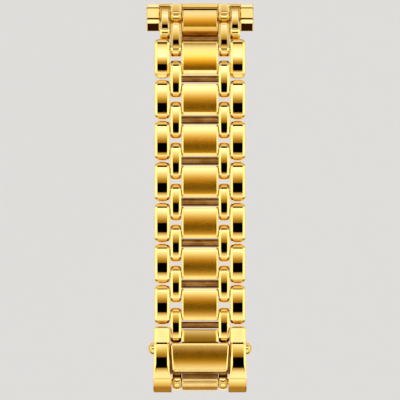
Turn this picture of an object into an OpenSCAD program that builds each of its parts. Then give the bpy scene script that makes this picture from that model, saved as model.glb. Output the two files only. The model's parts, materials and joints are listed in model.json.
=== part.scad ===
// Metal link bracelet for a wristwatch: strap half from the lug end piece to the folding clasp.
// Millimetres. X runs across the strap, Z up along it, and the outer face looks towards -Y.
// The origin is the centre of the spring bar bore in the end piece.

/* [Strap] */
// Distance between the watch lugs that the end piece fits
lug_width = 20; // [18:0.5:22]
// Play left in all between the lugs and the end piece
lug_play = 0.1; // [0.05:0.05:0.3]
// Number of link rows between end piece and clasp
rows = 8; // [6:1:8]
// Thickness of every link
link_thick = 3.2; // [3.0:0.1:3.4]
// Distance between the two pins of a row
row_span = 4.2; // [4.1:0.05:4.5]
// Distance between the two pins of an intermediate link
mid_span = 3.4; // [3.35:0.05:3.7]
// Width of a centre link
centre_w = 6.7; // [5.6:0.1:6.9]
// Width of one lobe of an intermediate link
mid_w = 2.1; // [1.9:0.05:2.2]
// Width of an outer link
outer_w = 2.8; // [2.5:0.05:2.9]
// Width of the first pair of outer links, which sit between the shoulders of the end piece
first_outer_w = 1.85; // [1.6:0.05:2.0]
// Length of a centre link past each of its pins
centre_reach = 0.9; // [0.8:0.05:0.95]
// Side gap between neighbouring columns
side_gap = 0.07; // [0.05:0.01:0.1]
// Radius of the lengthwise crown on every link
crown_r = 20; // [16:1:30]
// Radius of the barrel sides of an intermediate link
barrel_r = 17; // [14:1:30]
// Plan corner radius of the outer links
corner_r = 0.8; // [0.5:0.05:1.0]

/* [Bevels] */
// Width of the polished side bevels
bevel_w = 0.5; // [0.3:0.05:0.6]
// Depth of the polished side bevels
bevel_d = 0.32; // [0.2:0.02:0.4]
// Length of the bevel across each end of a centre link
end_bevel = 0.45; // [0.3:0.05:0.5]
// Break on the back edges
back_bevel = 0.2; // [0.1:0.05:0.3]

/* [Pins] */
// Diameter of the link pins
pin_d = 0.9; // [0.8:0.05:0.95]
// Radial clearance of a pin that is held fast
held_fit = 0.012; // [0.01:0.002:0.02]
// Radial clearance of a pin that turns
run_fit = 0.04; // [0.03:0.005:0.06]
// Depth of the pin ends below the side faces
pin_sink = 0.08; // [0.05:0.01:0.15]
// Diameter of the bridge bar of an intermediate link
bridge_d = 1.24; // [1.0:0.02:1.3]

/* [End piece] */
// Diameter of the spring bar bore
bar_bore_d = 1.6; // [1.4:0.1:1.8]
// Height of the shoulders
shoulder_h = 5; // [4.8:0.1:5.4]
// How far the shoulders reach in front of the spring bar
shoulder_front = 4.4; // [4.2:0.1:4.8]
// How far the end piece reaches behind the spring bar
heel = 2.2; // [2.0:0.1:2.6]
// First pin, in front of the spring bar
hinge_front = 2; // [1.95:0.05:2.2]
// First pin, above the spring bar
hinge_up = 1.07; // [1.0:0.01:1.1]

/* [Pose] */
// Lean of the first intermediate link from the vertical, in degrees
first_lean = 70; // [70:1:72]
// Most that one hinge bends, in degrees
hinge_bend = 20; // [18:1:20]

/* [Clasp] */
// Gap between the last outer links and the clasp rails
rail_top_gap = 0.35; // [0.3:0.05:0.5]
// Length of the clasp rails
rail_len = 12.25; // [12.1:0.05:12.6]
// Width of a clasp rail at its upper end
rail_w = 2.85; // [2.7:0.05:3.0]
// Extra width of a rail at its lower end
rail_flare = 0.2; // [0.1:0.05:0.3]
// Depth of the clasp rails
rail_depth = 5; // [4.9:0.1:5.3]
// Radius of the lengthwise crown on rails and plate
clasp_crown_r = 22; // [18:1:30]
// Radius of the rounded lower end of the rails
nose_r = 3.9; // [3.7:0.05:4.0]
// Length of the cover plate
plate_len = 5.4; // [5.2:0.05:5.5]
// Thickness of the cover plate at its crown
plate_thick = 1.25; // [1.1:0.05:1.4]
// Gap between plate and rail at the upper end
plate_gap = 0.22; // [0.15:0.01:0.3]
// Taper of each side of the plate
plate_taper = 0.34; // [0.2:0.02:0.4]
// Thickness of the web that carries the plate
web_thick = 0.6; // [0.5:0.05:0.65]
// Diameter of the two rivets that hold the plate
rivet_d = 1; // [0.8:0.05:1.2]

/* [Clasp blades] */
// Thickness of the two folding blades
blade_thick = 0.65; // [0.55:0.05:0.7]
// Gap between the two folded blades
blade_gap = 0.27; // [0.2:0.01:0.3]
// Inner radius of the bend in the base blade
blade_bend_r = 4.3; // [4.2:0.05:4.4]
// Width of the blades
blade_w = 10.8; // [10.2:0.1:10.9]
// Straight length of the blades past the bend
blade_run = 6.25; // [5.5:0.05:8]
// Diameter of the blade hinge pins
blade_pin_d = 0.7; // [0.6:0.02:0.74]
// Outer diameter of the cover hinge knuckle
cover_knuckle_d = 1.4; // [1.3:0.02:1.44]
// Outer diameter of the blade hinge knuckles
knuckle_d = 1.6; // [1.4:0.02:1.64]
// Width of the middle knuckle of the blade hinge
centre_knuckle_w = 4.6; // [4:0.1:5]
// Side gap between knuckles
knuckle_gap = 0.08; // [0.05:0.01:0.12]

/* [Push buttons] */
// Diameter of a push button
button_d = 2.3; // [2.1:0.05:2.4]
// How far a button stands out of the rail
button_proud = 1.05; // [0.9:0.05:1.2]
// Height of the button's dome
dome_h = 0.45; // [0.3:0.05:0.5]
// Travel of a button
button_travel = 0.5; // [0.4:0.05:0.6]
// Diameter of the button's shank
shank_d = 1.1; // [1:0.05:1.2]
// Diameter of the collar that locks in the base blade
collar_d = 1.3; // [1.2:0.05:1.4]

/* [Lower links] */
// Lean of the lower intermediate link from the vertical, in degrees
lower_lean = 85; // [84:1:87]
// Lean of the lower centre link from the vertical, in degrees
lower_row_lean = 88; // [86:1:89]

/* [Hidden] */
$fn = 48;
GOLD = "#e3b95c";
BRUSHED = "#d3a548";
STEEL = "#c9ccd0";
// Length by which joined solids run into each other
overlap = 0.3;
// Length past everything, for cuts
far = 40;
CROWN_FN = 200;
BEND_FN = 100;

link_r = link_thick / 2;
pin_r = pin_d / 2;
held_r = pin_r + held_fit;
run_r = pin_r + run_fit;
centre_x = centre_w / 2;
mid_x = centre_x + side_gap;
outer_x = mid_x + mid_w + side_gap;
strap_x = outer_x + outer_w;
shoulder_x = outer_x + first_outer_w + side_gap;
end_x = (lug_width - lug_play) / 2;

// Pins are counted from 0 at the end piece. Segment s runs from pin s to pin s + 1.
last_pin = 2 * rows + 1;
function lean(s) = max(0, first_lean - s * hinge_bend);
function span(s) = s % 2 == 0 ? mid_span : row_span;
function pin_y(k) = k == 0 ? -hinge_front : pin_y(k - 1) - span(k - 1) * sin(lean(k - 1));
function pin_z(k) = k == 0 ? hinge_up : pin_z(k - 1) - span(k - 1) * cos(lean(k - 1));

// The clasp is drawn from the last strap pin. Its heights below are measured from there.
clasp_y = pin_y(last_pin);
clasp_z = pin_z(last_pin);
rail_inset = 0.03;
rail_x = outer_x + rail_inset;
rail_top = mid_span - link_r - rail_top_gap;
rail_bottom = rail_top - rail_len;
crown_drop = 6.35;
crown_z = rail_top - crown_drop;
clasp_proud = 0.8;
crown_front = link_r + clasp_proud;
rail_back = rail_depth - crown_front;
nose_y = nose_r - crown_front;
nose_z = rail_bottom + nose_r;
plate_top = -1.55;
plate_bottom = plate_top - plate_len;
plate_back = plate_thick - crown_front;
crossbar_h = 0.35;
crossbar_gap = 0.05;
crossbar_z = plate_bottom - crossbar_gap - crossbar_h;
web_inset = 0.35;
web_top = plate_top - web_inset;
groove_z = -1.55;
groove_w = 0.3;
groove_d = 0.28;
rail_corner = 0.3;
rail_toe = 0.6;
plate_edge = 0.4;
bevel_rise = 0.1;
bevel_run = 0.12;

// End piece: corners of the nose, measured back from its tip or down from the top of the shoulders
brow_back = 1.8;
cheek_back = 0.5;
cheek_drop = 0.83;
tip_z = -0.28;
chin_back = 0.3;
chin_share = 0.55;
jaw_back = 1.2;
jaw_share = 0.9;
throat_back = 2.2;
heel_step = 0.6;
heel_lift = 1;
lobe_lift = 0.3;

// Blade bend: both blades run round one centre, the base blade inside the middle blade.
bend_y = 5.95;
bend_z = -1;
base_r1 = blade_bend_r;
base_r2 = base_r1 + blade_thick;
middle_r1 = base_r2 + blade_gap;
middle_r2 = middle_r1 + blade_thick;
cover_hinge_a = 40;
cover_hinge_gap = 0.1;
cover_hinge_r = base_r2 + cover_hinge_gap + cover_knuckle_d / 2;
cover_hinge_y = bend_y - cover_hinge_r * cos(cover_hinge_a);
cover_hinge_z = bend_z - cover_hinge_r * sin(cover_hinge_a);
blade_hinge_y = bend_y + blade_run;
blade_hinge_z = bend_z - (base_r1 + middle_r2) / 2;
knuckle_room = 0.15;
blade_pin_r = blade_pin_d / 2;
wide_start = 0.78;
wide_start_z = bend_z - wide_start;
lobe_foot = 1.35;
lobe_r = 1.5;
lobe_neck = 0.5;
bend_join = 0.1;
run_join = 0.01;

// Button axis, counted from the last strap pin
button_y = 0.5;
button_z = -2.65;
button_play = 0.06;
shank_play = 0.05;
button_bore_r = button_d / 2 + button_play;
shank_bore_r = shank_d / 2 + shank_play;
rail_wall = 0.9;
ear_x0 = 4.72;
ear_t = 0.62;
ear_r = 1;
collar_gap = 0.08;
collar_x0 = ear_x0 + collar_gap;
collar_t = 0.5;
hook_r = collar_d / 2 + collar_gap;
spring_solid = 0.75;
spring_len = button_travel + spring_solid;
button_in = rail_x + rail_wall + spring_len;
button_flare = rail_flare / 3;
spring_gap = 0.06;
// Direction in which the collar leaves the ear as the clasp opens
latch_a = -atan2(button_z - blade_hinge_z, blade_hinge_y - button_y);
rivet_x = 2.6;
rivet_z = -4.2;
rivet_bite = 0.6;
rivet_head = 0.25;
rivet_head_r = 0.75 * rivet_d;
plate_corner = 0.5;

// Lower links, counted from the last strap pin
lower_y0 = 0.6;
lower_z0 = -8.75;
lower_y1 = lower_y0 + mid_span * sin(lower_lean);
lower_z1 = lower_z0 - mid_span * cos(lower_lean);

// Places children at segment s: its upper pin at the origin, its lower pin down -Z
module at_segment(s) {
    translate([0, pin_y(s), pin_z(s)]) rotate([-lean(s), 0, 0]) children();
}

// Places children at the last strap pin
module at_clasp() {
    translate([0, clasp_y, clasp_z]) children();
}

// Draws a (y, z) profile as a bar along X from x0 to x1
module bar_x(x0, x1) {
    translate([x0, 0, 0]) rotate([90, 0, 90]) linear_extrude(x1 - x0) children();
}

// Draws an (x, z) outline as a bar along Y from y0 to y1
module bar_y(y0, y1) {
    translate([0, y1, 0]) rotate([90, 0, 0]) linear_extrude(y1 - y0) children();
}

// Round rod along X at (y, z)
module rod_x(x0, x1, y, z, r) {
    translate([x0, y, z]) rotate([0, 90, 0]) cylinder(r = r, h = x1 - x0);
}

// Square with its corners at two points
module box_2d(a, b) {
    translate([min(a[0], b[0]), min(a[1], b[1])]) square([abs(b[0] - a[0]), abs(b[1] - a[1])]);
}

// Side profile of a link whose ends are rounded about its pins
module round_profile(length) {
    intersection() {
        union() {
            circle(link_r);
            translate([0, -length]) circle(link_r);
            box_2d([-link_r, 0], [link_r, -length]);
        }
        crown_2d(length);
    }
}

// Large circle that crowns the outer face
module crown_2d(length) {
    translate([crown_r - link_r, -length / 2]) circle(crown_r, $fn = CROWN_FN);
}

// Side profile of a link whose ends are square with a bevel in front
module square_profile(length, reach) {
    top = reach;
    low = -length - reach;
    front = -link_r - bevel_rise;
    lip = -link_r + bevel_d + bevel_run;
    back = 2 * back_bevel;
    intersection() {
        polygon([
            [front, top - end_bevel],
            [lip, top],
            [link_r - back, top],
            [link_r, top - back],
            [link_r, low + back],
            [link_r - back, low],
            [lip, low],
            [front, low + end_bevel]
        ]);
        crown_2d(length);
    }
}

// Solid whose front side bevels follow the crown: a bevelled section turned about the crown's axis
module bevel_body(x0, x1, length, wide) {
    axis_y = crown_r - link_r;
    translate([0, axis_y, -length / 2])
        rotate([0, 90, 0]) rotate_extrude($fn = CROWN_FN) bevel_section(x0, x1, wide);
}

// Section of a link across the strap, with the radius from the crown's axis as its first coordinate
module bevel_section(x0, x1, wide) {
    r0 = crown_r - 2 * link_thick;
    polygon([
        [r0, x0],
        [crown_r - bevel_d, x0],
        [crown_r, x0 + wide],
        [crown_r, x1 - wide],
        [crown_r - bevel_d, x1],
        [r0, x1]
    ]);
}

// Plan of an outer link with rounded corners
module round_plan(x0, x1, length, r) {
    top = link_r;
    low = -length - link_r;
    for (x = [x0 + r, x1 - r], z = [top - r, low + r]) translate([x, z]) circle(r);
    box_2d([x0 + r, low], [x1 - r, top]);
    box_2d([x0, low + r], [x1, top - r]);
}

// Outer link between x0 and x1, with bores for the two pins of its row
module outer_link(x0, x1) {
    difference() {
        intersection() {
            bar_x(x0, x1) round_profile(row_span);
            bar_y(-far, far) round_plan(x0, x1, row_span, corner_r);
            bevel_body(x0, x1, row_span, bevel_w);
        }
        for (z = [0, -row_span]) rod_x(x0 - overlap, x1 + overlap, 0, z, held_r);
    }
}

// Plan of one lobe of an intermediate link, widest at the middle of its length
module barrel_plan(length) {
    half = mid_w / 2;
    intersection() {
        translate([barrel_r - half, -length / 2]) circle(barrel_r, $fn = CROWN_FN);
        translate([half - barrel_r, -length / 2]) circle(barrel_r, $fn = CROWN_FN);
        box_2d([-half, -length - link_r], [half, link_r]);
    }
}

// Intermediate link: two barrel lobes joined by a recessed bridge bar, turning on both its pins
module intermediate_link() {
    mid_c = mid_x + mid_w / 2;
    difference() {
        union() {
            for (side = [-1, 1]) {
                intersection() {
                    bar_x(side * mid_c - mid_w / 2, side * mid_c + mid_w / 2) round_profile(mid_span);
                    translate([side * mid_c, 0, 0]) bar_y(-far, far) barrel_plan(mid_span);
                    bevel_body(side * mid_c - mid_w / 2, side * mid_c + mid_w / 2, mid_span, bevel_w);
                }
            }
            rod_x(-mid_c, mid_c, 0, -mid_span / 2, bridge_d / 2);
        }
        for (z = [0, -mid_span]) rod_x(-strap_x, strap_x, 0, z, run_r);
    }
}

// Centre link with bores for the two pins of its row
module centre_link() {
    difference() {
        intersection() {
            bar_x(-centre_x, centre_x) square_profile(row_span, centre_reach);
            bevel_body(-centre_x, centre_x, row_span, bevel_w);
        }
        for (z = [0, -row_span]) rod_x(-strap_x, strap_x, 0, z, held_r);
    }
}

// Width of the outer links in row i
function outer_width(i) = i == 1 ? first_outer_w : outer_w;

module outer_left(i) {
    color(GOLD) at_segment(2 * i - 1) outer_link(-outer_x - outer_width(i), -outer_x);
}

module outer_right(i) {
    color(GOLD) at_segment(2 * i - 1) outer_link(outer_x, outer_x + outer_width(i));
}

module centre(i) {
    color(BRUSHED) at_segment(2 * i - 1) centre_link();
}

module row_pins(i) {
    reach = outer_x + outer_width(i) - pin_sink;
    color(STEEL) at_segment(2 * i - 1)
        for (z = [0, -row_span]) rod_x(-reach, reach, 0, z, pin_r);
}

module intermediate(i) {
    color(GOLD) at_segment(2 * i - 2) intermediate_link();
}

// Side profile of the shoulders, with the facets of their nose
module shoulder_profile() {
    half = shoulder_h / 2;
    front = -shoulder_front;
    polygon([
        [heel, half],
        [front + brow_back, half],
        [front + cheek_back, half - cheek_drop],
        [front, tip_z],
        [front + chin_back, -chin_share * half],
        [front + jaw_back, -jaw_share * half],
        [front + throat_back, -half],
        [heel, -half]
    ]);
}

// Side profile of the body between the shoulders
module heel_profile() {
    half = shoulder_h / 2;
    box_2d([-heel_step, -half], [heel, half]);
    box_2d([heel_step - hinge_front, heel_lift - half], [heel, hinge_up + link_r]);
}

module end_piece() {
    color(GOLD) difference() {
        union() {
            for (side = [0, 1]) mirror([side, 0, 0]) {
                bar_x(shoulder_x, end_x) shoulder_profile();
                bar_x(outer_x, shoulder_x + overlap) knuckle_profile();
            }
            bar_x(-centre_x, centre_x) lobe_profile();
            bar_x(-shoulder_x - overlap, shoulder_x + overlap) heel_profile();
        }
        for (side = [0, 1]) mirror([side, 0, 0])
            rod_x(mid_x - side_gap, outer_x, -hinge_front, hinge_up, link_r + side_gap);
        rod_x(-far, far, 0, 0, bar_bore_d / 2);
        rod_x(-far, far, -hinge_front, hinge_up, held_r);
        first_row_room();
    }
}

// Knuckle of the end piece behind the first outer links
module knuckle_profile() {
    translate([-hinge_front, hinge_up]) circle(link_r);
    box_2d([-hinge_front, hinge_up - link_r], [0, hinge_up + link_r]);
}

// Middle lobe of the end piece, cut square in front of its pin
module lobe_profile() {
    box_2d([-hinge_front - centre_reach, hinge_up - link_r + lobe_lift], [0, hinge_up + link_r]);
}

// Room for the first links under the knuckles
module first_row_room() {
    room = link_r + side_gap;
    rod_x(-shoulder_x, shoulder_x, pin_y(1), pin_z(1), room);
}

module end_pin() {
    color(STEEL) rod_x(-end_x + pin_sink, end_x - pin_sink, -hinge_front, hinge_up, pin_r);
}

// Side profile of a clasp rail: crowned front, groove in line with the plate, rounded nose
module rail_profile() {
    difference() {
        intersection() {
            union() {
                box_2d([-far, rail_top], [rail_back, nose_z]);
                translate([nose_y, nose_z]) circle(nose_r);
            }
            clasp_crown_2d();
            box_2d([-far, far], [rail_back, -far]);
        }
        box_2d([-far, groove_z], [groove_d - crown_front, groove_z - groove_w]);
    }
}

// Large circle that crowns the front of rails and plate
module clasp_crown_2d() {
    translate([clasp_crown_r - crown_front, crown_z]) circle(clasp_crown_r, $fn = CROWN_FN);
}

// Section across a rail or the plate, bevelled in front, drawn as a bar along Z
module bevel_bar_z(x0, x1) {
    front = -crown_front;
    translate([0, 0, -far]) linear_extrude(2 * far) polygon([
        [x0, far],
        [x0, front + bevel_d],
        [x0 + bevel_w, front],
        [x0 + bevel_w, -far],
        [x1 - bevel_w, -far],
        [x1 - bevel_w, front],
        [x1, front + bevel_d],
        [x1, far]
    ]);
}

// Plan of a rail, flared towards its lower end
module rail_plan() {
    polygon([
        [rail_x, rail_top],
        [rail_x + rail_w - rail_corner, rail_top],
        [rail_x + rail_w, rail_top - rail_corner],
        [rail_x + rail_w + rail_flare, rail_bottom + rail_toe],
        [rail_x + rail_w + rail_flare - rail_toe, rail_bottom],
        [rail_x, rail_bottom]
    ]);
}

module rail() {
    intersection() {
        bar_x(rail_x, rail_x + rail_w + rail_flare) rail_profile();
        bar_y(-far, far) rail_plan();
        bevel_bar_z(rail_x, rail_x + rail_w + rail_flare);
    }
}

// Middle lobe of the clasp on the pin of the lower links, flat towards their bridge bar
module frame_lobe() {
    bar_x(-centre_x, centre_x) {
        intersection() {
            translate([lower_y0, lower_z0]) circle(lobe_r);
            box_2d([-far, far], [lower_y0 + centre_reach, -far]);
        }
        box_2d([plate_back, lower_z0], [plate_back + web_thick + lobe_neck, crossbar_z + overlap]);
    }
}

module clasp_frame() {
    web_back = plate_back + web_thick;
    span_x = rail_x + overlap;
    color(GOLD) at_clasp() difference() {
        union() {
            for (side = [0, 1]) mirror([side, 0, 0]) rail();
            bar_x(-span_x, span_x) box_2d([plate_back, web_top], [web_back, crossbar_z]);
            bar_x(-span_x, span_x)
                box_2d([overlap - crown_front, crossbar_z + crossbar_h], [web_back, crossbar_z]);
            frame_lobe();
        }
        for (side = [0, 1]) mirror([side, 0, 0]) {
            rod_x(rail_x + rail_wall, far, button_y, button_z, button_bore_r);
            rod_x(0, far, button_y, button_z, shank_bore_r);
            rod_x(0, far, cover_hinge_y, cover_hinge_z, blade_pin_r + held_fit);
            translate([rivet_x, 0, rivet_z]) rivet_rod(rivet_d / 2 + held_fit, far);
        }
        rod_x(-far, far, lower_y0, lower_z0, held_r);
    }
}

// Rod along Y through the web into the plate, ending at y
module rivet_rod(r, y) {
    translate([0, plate_back - rivet_bite, 0]) rotate([-90, 0, 0])
        cylinder(r = r, h = y - plate_back + rivet_bite);
}

module plate_rivets() {
    web_back = plate_back + web_thick;
    color(STEEL) at_clasp() for (side = [-1, 1]) translate([side * rivet_x, 0, rivet_z]) {
        rivet_rod(rivet_d / 2, web_back + rivet_head);
        translate([0, web_back, 0]) rotate([-90, 0, 0]) cylinder(r = rivet_head_r, h = rivet_head);
    }
}

// Plan of the cover plate, tapered towards its lower end
module plate_plan() {
    half_top = rail_x - plate_gap;
    half_low = half_top - plate_taper;
    polygon([
        [-half_top, plate_top],
        [half_top, plate_top],
        [half_low, plate_bottom + plate_corner],
        [half_low - plate_corner, plate_bottom],
        [plate_corner - half_low, plate_bottom],
        [-half_low, plate_bottom + plate_corner]
    ]);
}

// Side profile of the cover plate, bevelled along its upper edge
module plate_profile() {
    difference() {
        intersection() {
            box_2d([-far, plate_top], [plate_back, plate_bottom]);
            clasp_crown_2d();
        }
        polygon([
            [-far, plate_top + overlap],
            [-crown_front + bevel_d + plate_edge, plate_top + bevel_rise],
            [-crown_front, plate_top - end_bevel],
            [-far, plate_top - end_bevel]
        ]);
    }
}

module cover_plate() {
    half_top = rail_x - plate_gap;
    color(BRUSHED) at_clasp() difference() {
        intersection() {
            bar_x(-half_top, half_top) plate_profile();
            bar_y(-far, far) plate_plan();
            bevel_bar_z(-half_top, half_top);
        }
        for (side = [-1, 1]) translate([side * rivet_x, 0, rivet_z])
            rivet_rod(rivet_d / 2 + held_fit, 0);
    }
}

// Push button on the right side: domed head, shank and locking collar
module button() {
    head_out = rail_x + rail_w + button_flare + button_proud;
    dome_r = (pow(button_d / 2, 2) + pow(dome_h, 2)) / (2 * dome_h);
    intersection() {
        rod_x(button_in, head_out, button_y, button_z, button_d / 2);
        translate([head_out - dome_r, button_y, button_z]) rotate([0, 90, 0]) sphere(dome_r);
    }
    rod_x(collar_x0, button_in + overlap, button_y, button_z, shank_d / 2);
    rod_x(collar_x0, collar_x0 + collar_t, button_y, button_z, collar_d / 2);
}

// Coil spring under the head, drawn as the sleeve that it fills
module button_spring() {
    sleeve_in = shank_d / 2 + spring_gap;
    sleeve_out = button_bore_r - spring_gap;
    x0 = rail_x + rail_wall;
    difference() {
        rod_x(x0, button_in, button_y, button_z, sleeve_out);
        rod_x(x0 - overlap, button_in + overlap, button_y, button_z, sleeve_in);
    }
}

module button_right() {
    color(GOLD) at_clasp() button();
}

module button_left() {
    color(GOLD) at_clasp() mirror([1, 0, 0]) button();
}

module button_spring_right() {
    color(STEEL) at_clasp() button_spring();
}

module button_spring_left() {
    color(STEEL) at_clasp() mirror([1, 0, 0]) button_spring();
}

// Quarter ring of a blade bend, from z_from down to the straight run
module bend_2d(r1, r2, z_from) {
    intersection() {
        difference() {
            translate([bend_y, bend_z]) circle(r2, $fn = BEND_FN);
            translate([bend_y, bend_z]) circle(r1, $fn = BEND_FN);
        }
        box_2d([bend_y - far, z_from], [bend_y, -far]);
    }
}

// Ear of the base blade: a hook over the button's collar, open on its lower side
module latch_ear() {
    difference() {
        rod_x(ear_x0, ear_x0 + ear_t, button_y, button_z, ear_r);
        rod_x(ear_x0 - overlap, far, button_y, button_z, hook_r);
        translate([ear_x0 - overlap, button_y, button_z]) rotate([latch_a, 0, 0])
            translate([0, -hook_r, -far]) cube([far, 2 * hook_r, far]);
    }
}

// Front lobe of the base blade, shaped like the end of a centre link
module base_lobe() {
    intersection() {
        bar_x(-centre_x, centre_x) intersection() {
            square_profile(row_span, centre_reach);
            box_2d([-far, far], [far, -lobe_foot]);
        }
        bevel_body(-centre_x, centre_x, row_span, bevel_w);
    }
}

module base_blade() {
    half = blade_w / 2;
    color(STEEL) at_clasp() difference() {
        union() {
            base_lobe();
            bar_x(-centre_x, centre_x) bend_2d(base_r1, base_r2, bend_z + bend_join);
            bar_x(-half, half) {
                bend_2d(base_r1, base_r2, wide_start_z);
                box_2d([bend_y - run_join, bend_z - base_r1], [blade_hinge_y, bend_z - base_r2]);
            }
            rod_x(-centre_knuckle_w / 2, centre_knuckle_w / 2, blade_hinge_y, blade_hinge_z, knuckle_d / 2);
            for (side = [0, 1]) mirror([side, 0, 0]) latch_ear();
        }
        rod_x(-far, far, 0, 0, held_r);
        rod_x(-far, far, blade_hinge_y, blade_hinge_z, blade_pin_r + held_fit);
        for (side = [0, 1]) mirror([side, 0, 0])
            rod_x(centre_knuckle_w / 2, far, blade_hinge_y, blade_hinge_z, knuckle_d / 2 + knuckle_room);
    }
}

module middle_blade() {
    half = blade_w / 2;
    notch = centre_knuckle_w / 2 + knuckle_gap;
    color(STEEL) at_clasp() difference() {
        union() {
            bar_x(-half, half) {
                bend_2d(middle_r1, middle_r2, cover_hinge_z);
                box_2d([bend_y - run_join, bend_z - middle_r1], [blade_hinge_y, bend_z - middle_r2]);
            }
            rod_x(-half, half, cover_hinge_y, cover_hinge_z, cover_knuckle_d / 2);
            for (side = [0, 1]) mirror([side, 0, 0])
                rod_x(notch, half, blade_hinge_y, blade_hinge_z, knuckle_d / 2);
        }
        rod_x(-far, far, cover_hinge_y, cover_hinge_z, blade_pin_r + run_fit);
        rod_x(-far, far, blade_hinge_y, blade_hinge_z, blade_pin_r + run_fit);
        rod_x(-notch, notch, blade_hinge_y, blade_hinge_z, knuckle_d / 2 + knuckle_room);
    }
}

module clasp_pin() {
    reach = outer_x - side_gap - pin_sink / 2;
    color(STEEL) at_clasp() rod_x(-reach, reach, 0, 0, pin_r);
}

module cover_hinge_pin() {
    reach = rail_x + rail_w - pin_sink;
    color(STEEL) at_clasp() rod_x(-reach, reach, cover_hinge_y, cover_hinge_z, blade_pin_r);
}

module blade_hinge_pin() {
    reach = blade_w / 2 - pin_sink;
    color(STEEL) at_clasp() rod_x(-reach, reach, blade_hinge_y, blade_hinge_z, blade_pin_r);
}

module lower_intermediate() {
    color(GOLD) at_clasp() translate([0, lower_y0, lower_z0])
        rotate([lower_lean, 0, 0]) intermediate_link();
}

module lower_centre_link() {
    color(BRUSHED) at_clasp() translate([0, lower_y1, lower_z1])
        rotate([lower_row_lean, 0, 0]) centre_link();
}

module lower_pin_1() {
    reach = rail_x + rail_w - pin_sink;
    color(STEEL) at_clasp() rod_x(-reach, reach, lower_y0, lower_z0, pin_r);
}

module lower_pin_2() {
    reach = outer_x - side_gap - pin_sink / 2;
    color(STEEL) at_clasp() rod_x(-reach, reach, lower_y1, lower_z1, pin_r);
}

end_piece();
end_pin();
for (i = [1:rows + 1]) {
    intermediate(i);
}
for (i = [1:rows]) {
    outer_left(i);
    outer_right(i);
    centre(i);
    row_pins(i);
}
clasp_frame();
cover_plate();
plate_rivets();
button_left();
button_right();
button_spring_left();
button_spring_right();
base_blade();
middle_blade();
clasp_pin();
cover_hinge_pin();
blade_hinge_pin();
lower_intermediate();
lower_centre_link();
lower_pin_1();
lower_pin_2();
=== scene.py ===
"""Looks of a gold link strap half with its folding clasp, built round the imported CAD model.

Sizes are written in millimetres and become metres where a mesh is made. Side outlines are lists
of (y, z) points, and X runs across the strap.
"""

import json
import logging
import math
from dataclasses import dataclass, field, replace
from enum import Enum
from typing import Any, Callable, Sequence

import bmesh
import bpy
import numpy as np
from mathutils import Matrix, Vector
from mathutils.geometry import tessellate_polygon

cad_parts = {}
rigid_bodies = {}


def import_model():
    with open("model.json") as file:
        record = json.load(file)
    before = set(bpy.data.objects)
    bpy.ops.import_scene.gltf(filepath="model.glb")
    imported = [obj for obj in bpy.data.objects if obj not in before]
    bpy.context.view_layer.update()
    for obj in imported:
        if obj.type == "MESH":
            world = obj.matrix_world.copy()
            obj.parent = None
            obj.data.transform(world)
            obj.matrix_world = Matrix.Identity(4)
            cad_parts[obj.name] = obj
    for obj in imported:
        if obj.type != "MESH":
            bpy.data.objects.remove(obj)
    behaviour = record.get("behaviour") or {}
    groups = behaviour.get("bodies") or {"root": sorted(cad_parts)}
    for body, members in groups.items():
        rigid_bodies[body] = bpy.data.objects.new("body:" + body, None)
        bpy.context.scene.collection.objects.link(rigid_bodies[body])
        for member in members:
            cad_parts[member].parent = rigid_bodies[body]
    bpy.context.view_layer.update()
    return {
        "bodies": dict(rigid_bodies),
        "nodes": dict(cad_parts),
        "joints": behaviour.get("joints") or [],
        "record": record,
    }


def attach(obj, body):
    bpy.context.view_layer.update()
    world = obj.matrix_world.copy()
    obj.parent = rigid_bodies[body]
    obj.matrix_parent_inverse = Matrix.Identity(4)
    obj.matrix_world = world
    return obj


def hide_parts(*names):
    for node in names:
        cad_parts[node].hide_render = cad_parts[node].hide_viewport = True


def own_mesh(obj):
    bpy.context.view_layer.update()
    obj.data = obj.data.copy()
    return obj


LOG = logging.getLogger("strap")
MM = 0.001
# Lies past the end of every piece, for a corner that a face does not have.
FAR = 99.0
# Points round each corner of a bevel.
CORNER = 5
# An edge that turns by more degrees than this is shaded sharp.
SHARP = 38.0
# A corner of an outline that turns by fewer radians than this is straight.
STRAIGHT = 1e-4
# Keeps a length of nothing out of a division.
TINY = 1e-9
# Share of a radius that keeps the end of a rounding short of its vertical tangent.
ALMOST = 0.999
Rows = np.ndarray
Pair = tuple[float, float]
Triple = tuple[float, float, float]


class Side(Enum):
    """Which side of the strap a piece is on."""

    LEFT = -1
    RIGHT = 1

    @property
    def word(self) -> str:
        """Name of the side as the CAD nodes spell it."""
        return self.name.lower()

    def near(self, inner: float, wide: float) -> float:
        """Least x of a piece that starts at inner from the middle and is wide."""
        return inner if self is Side.RIGHT else -inner - wide


class Grain(Enum):
    """How a bar is finished, or that it lies deep and takes gold painted with shade. The value is the
    number of the material in its piece.
    """

    POLISHED = 0
    BRUSHED = 1
    # Gold painted darker with shade, for bars deep between other parts.
    RECESSED = 2


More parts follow.
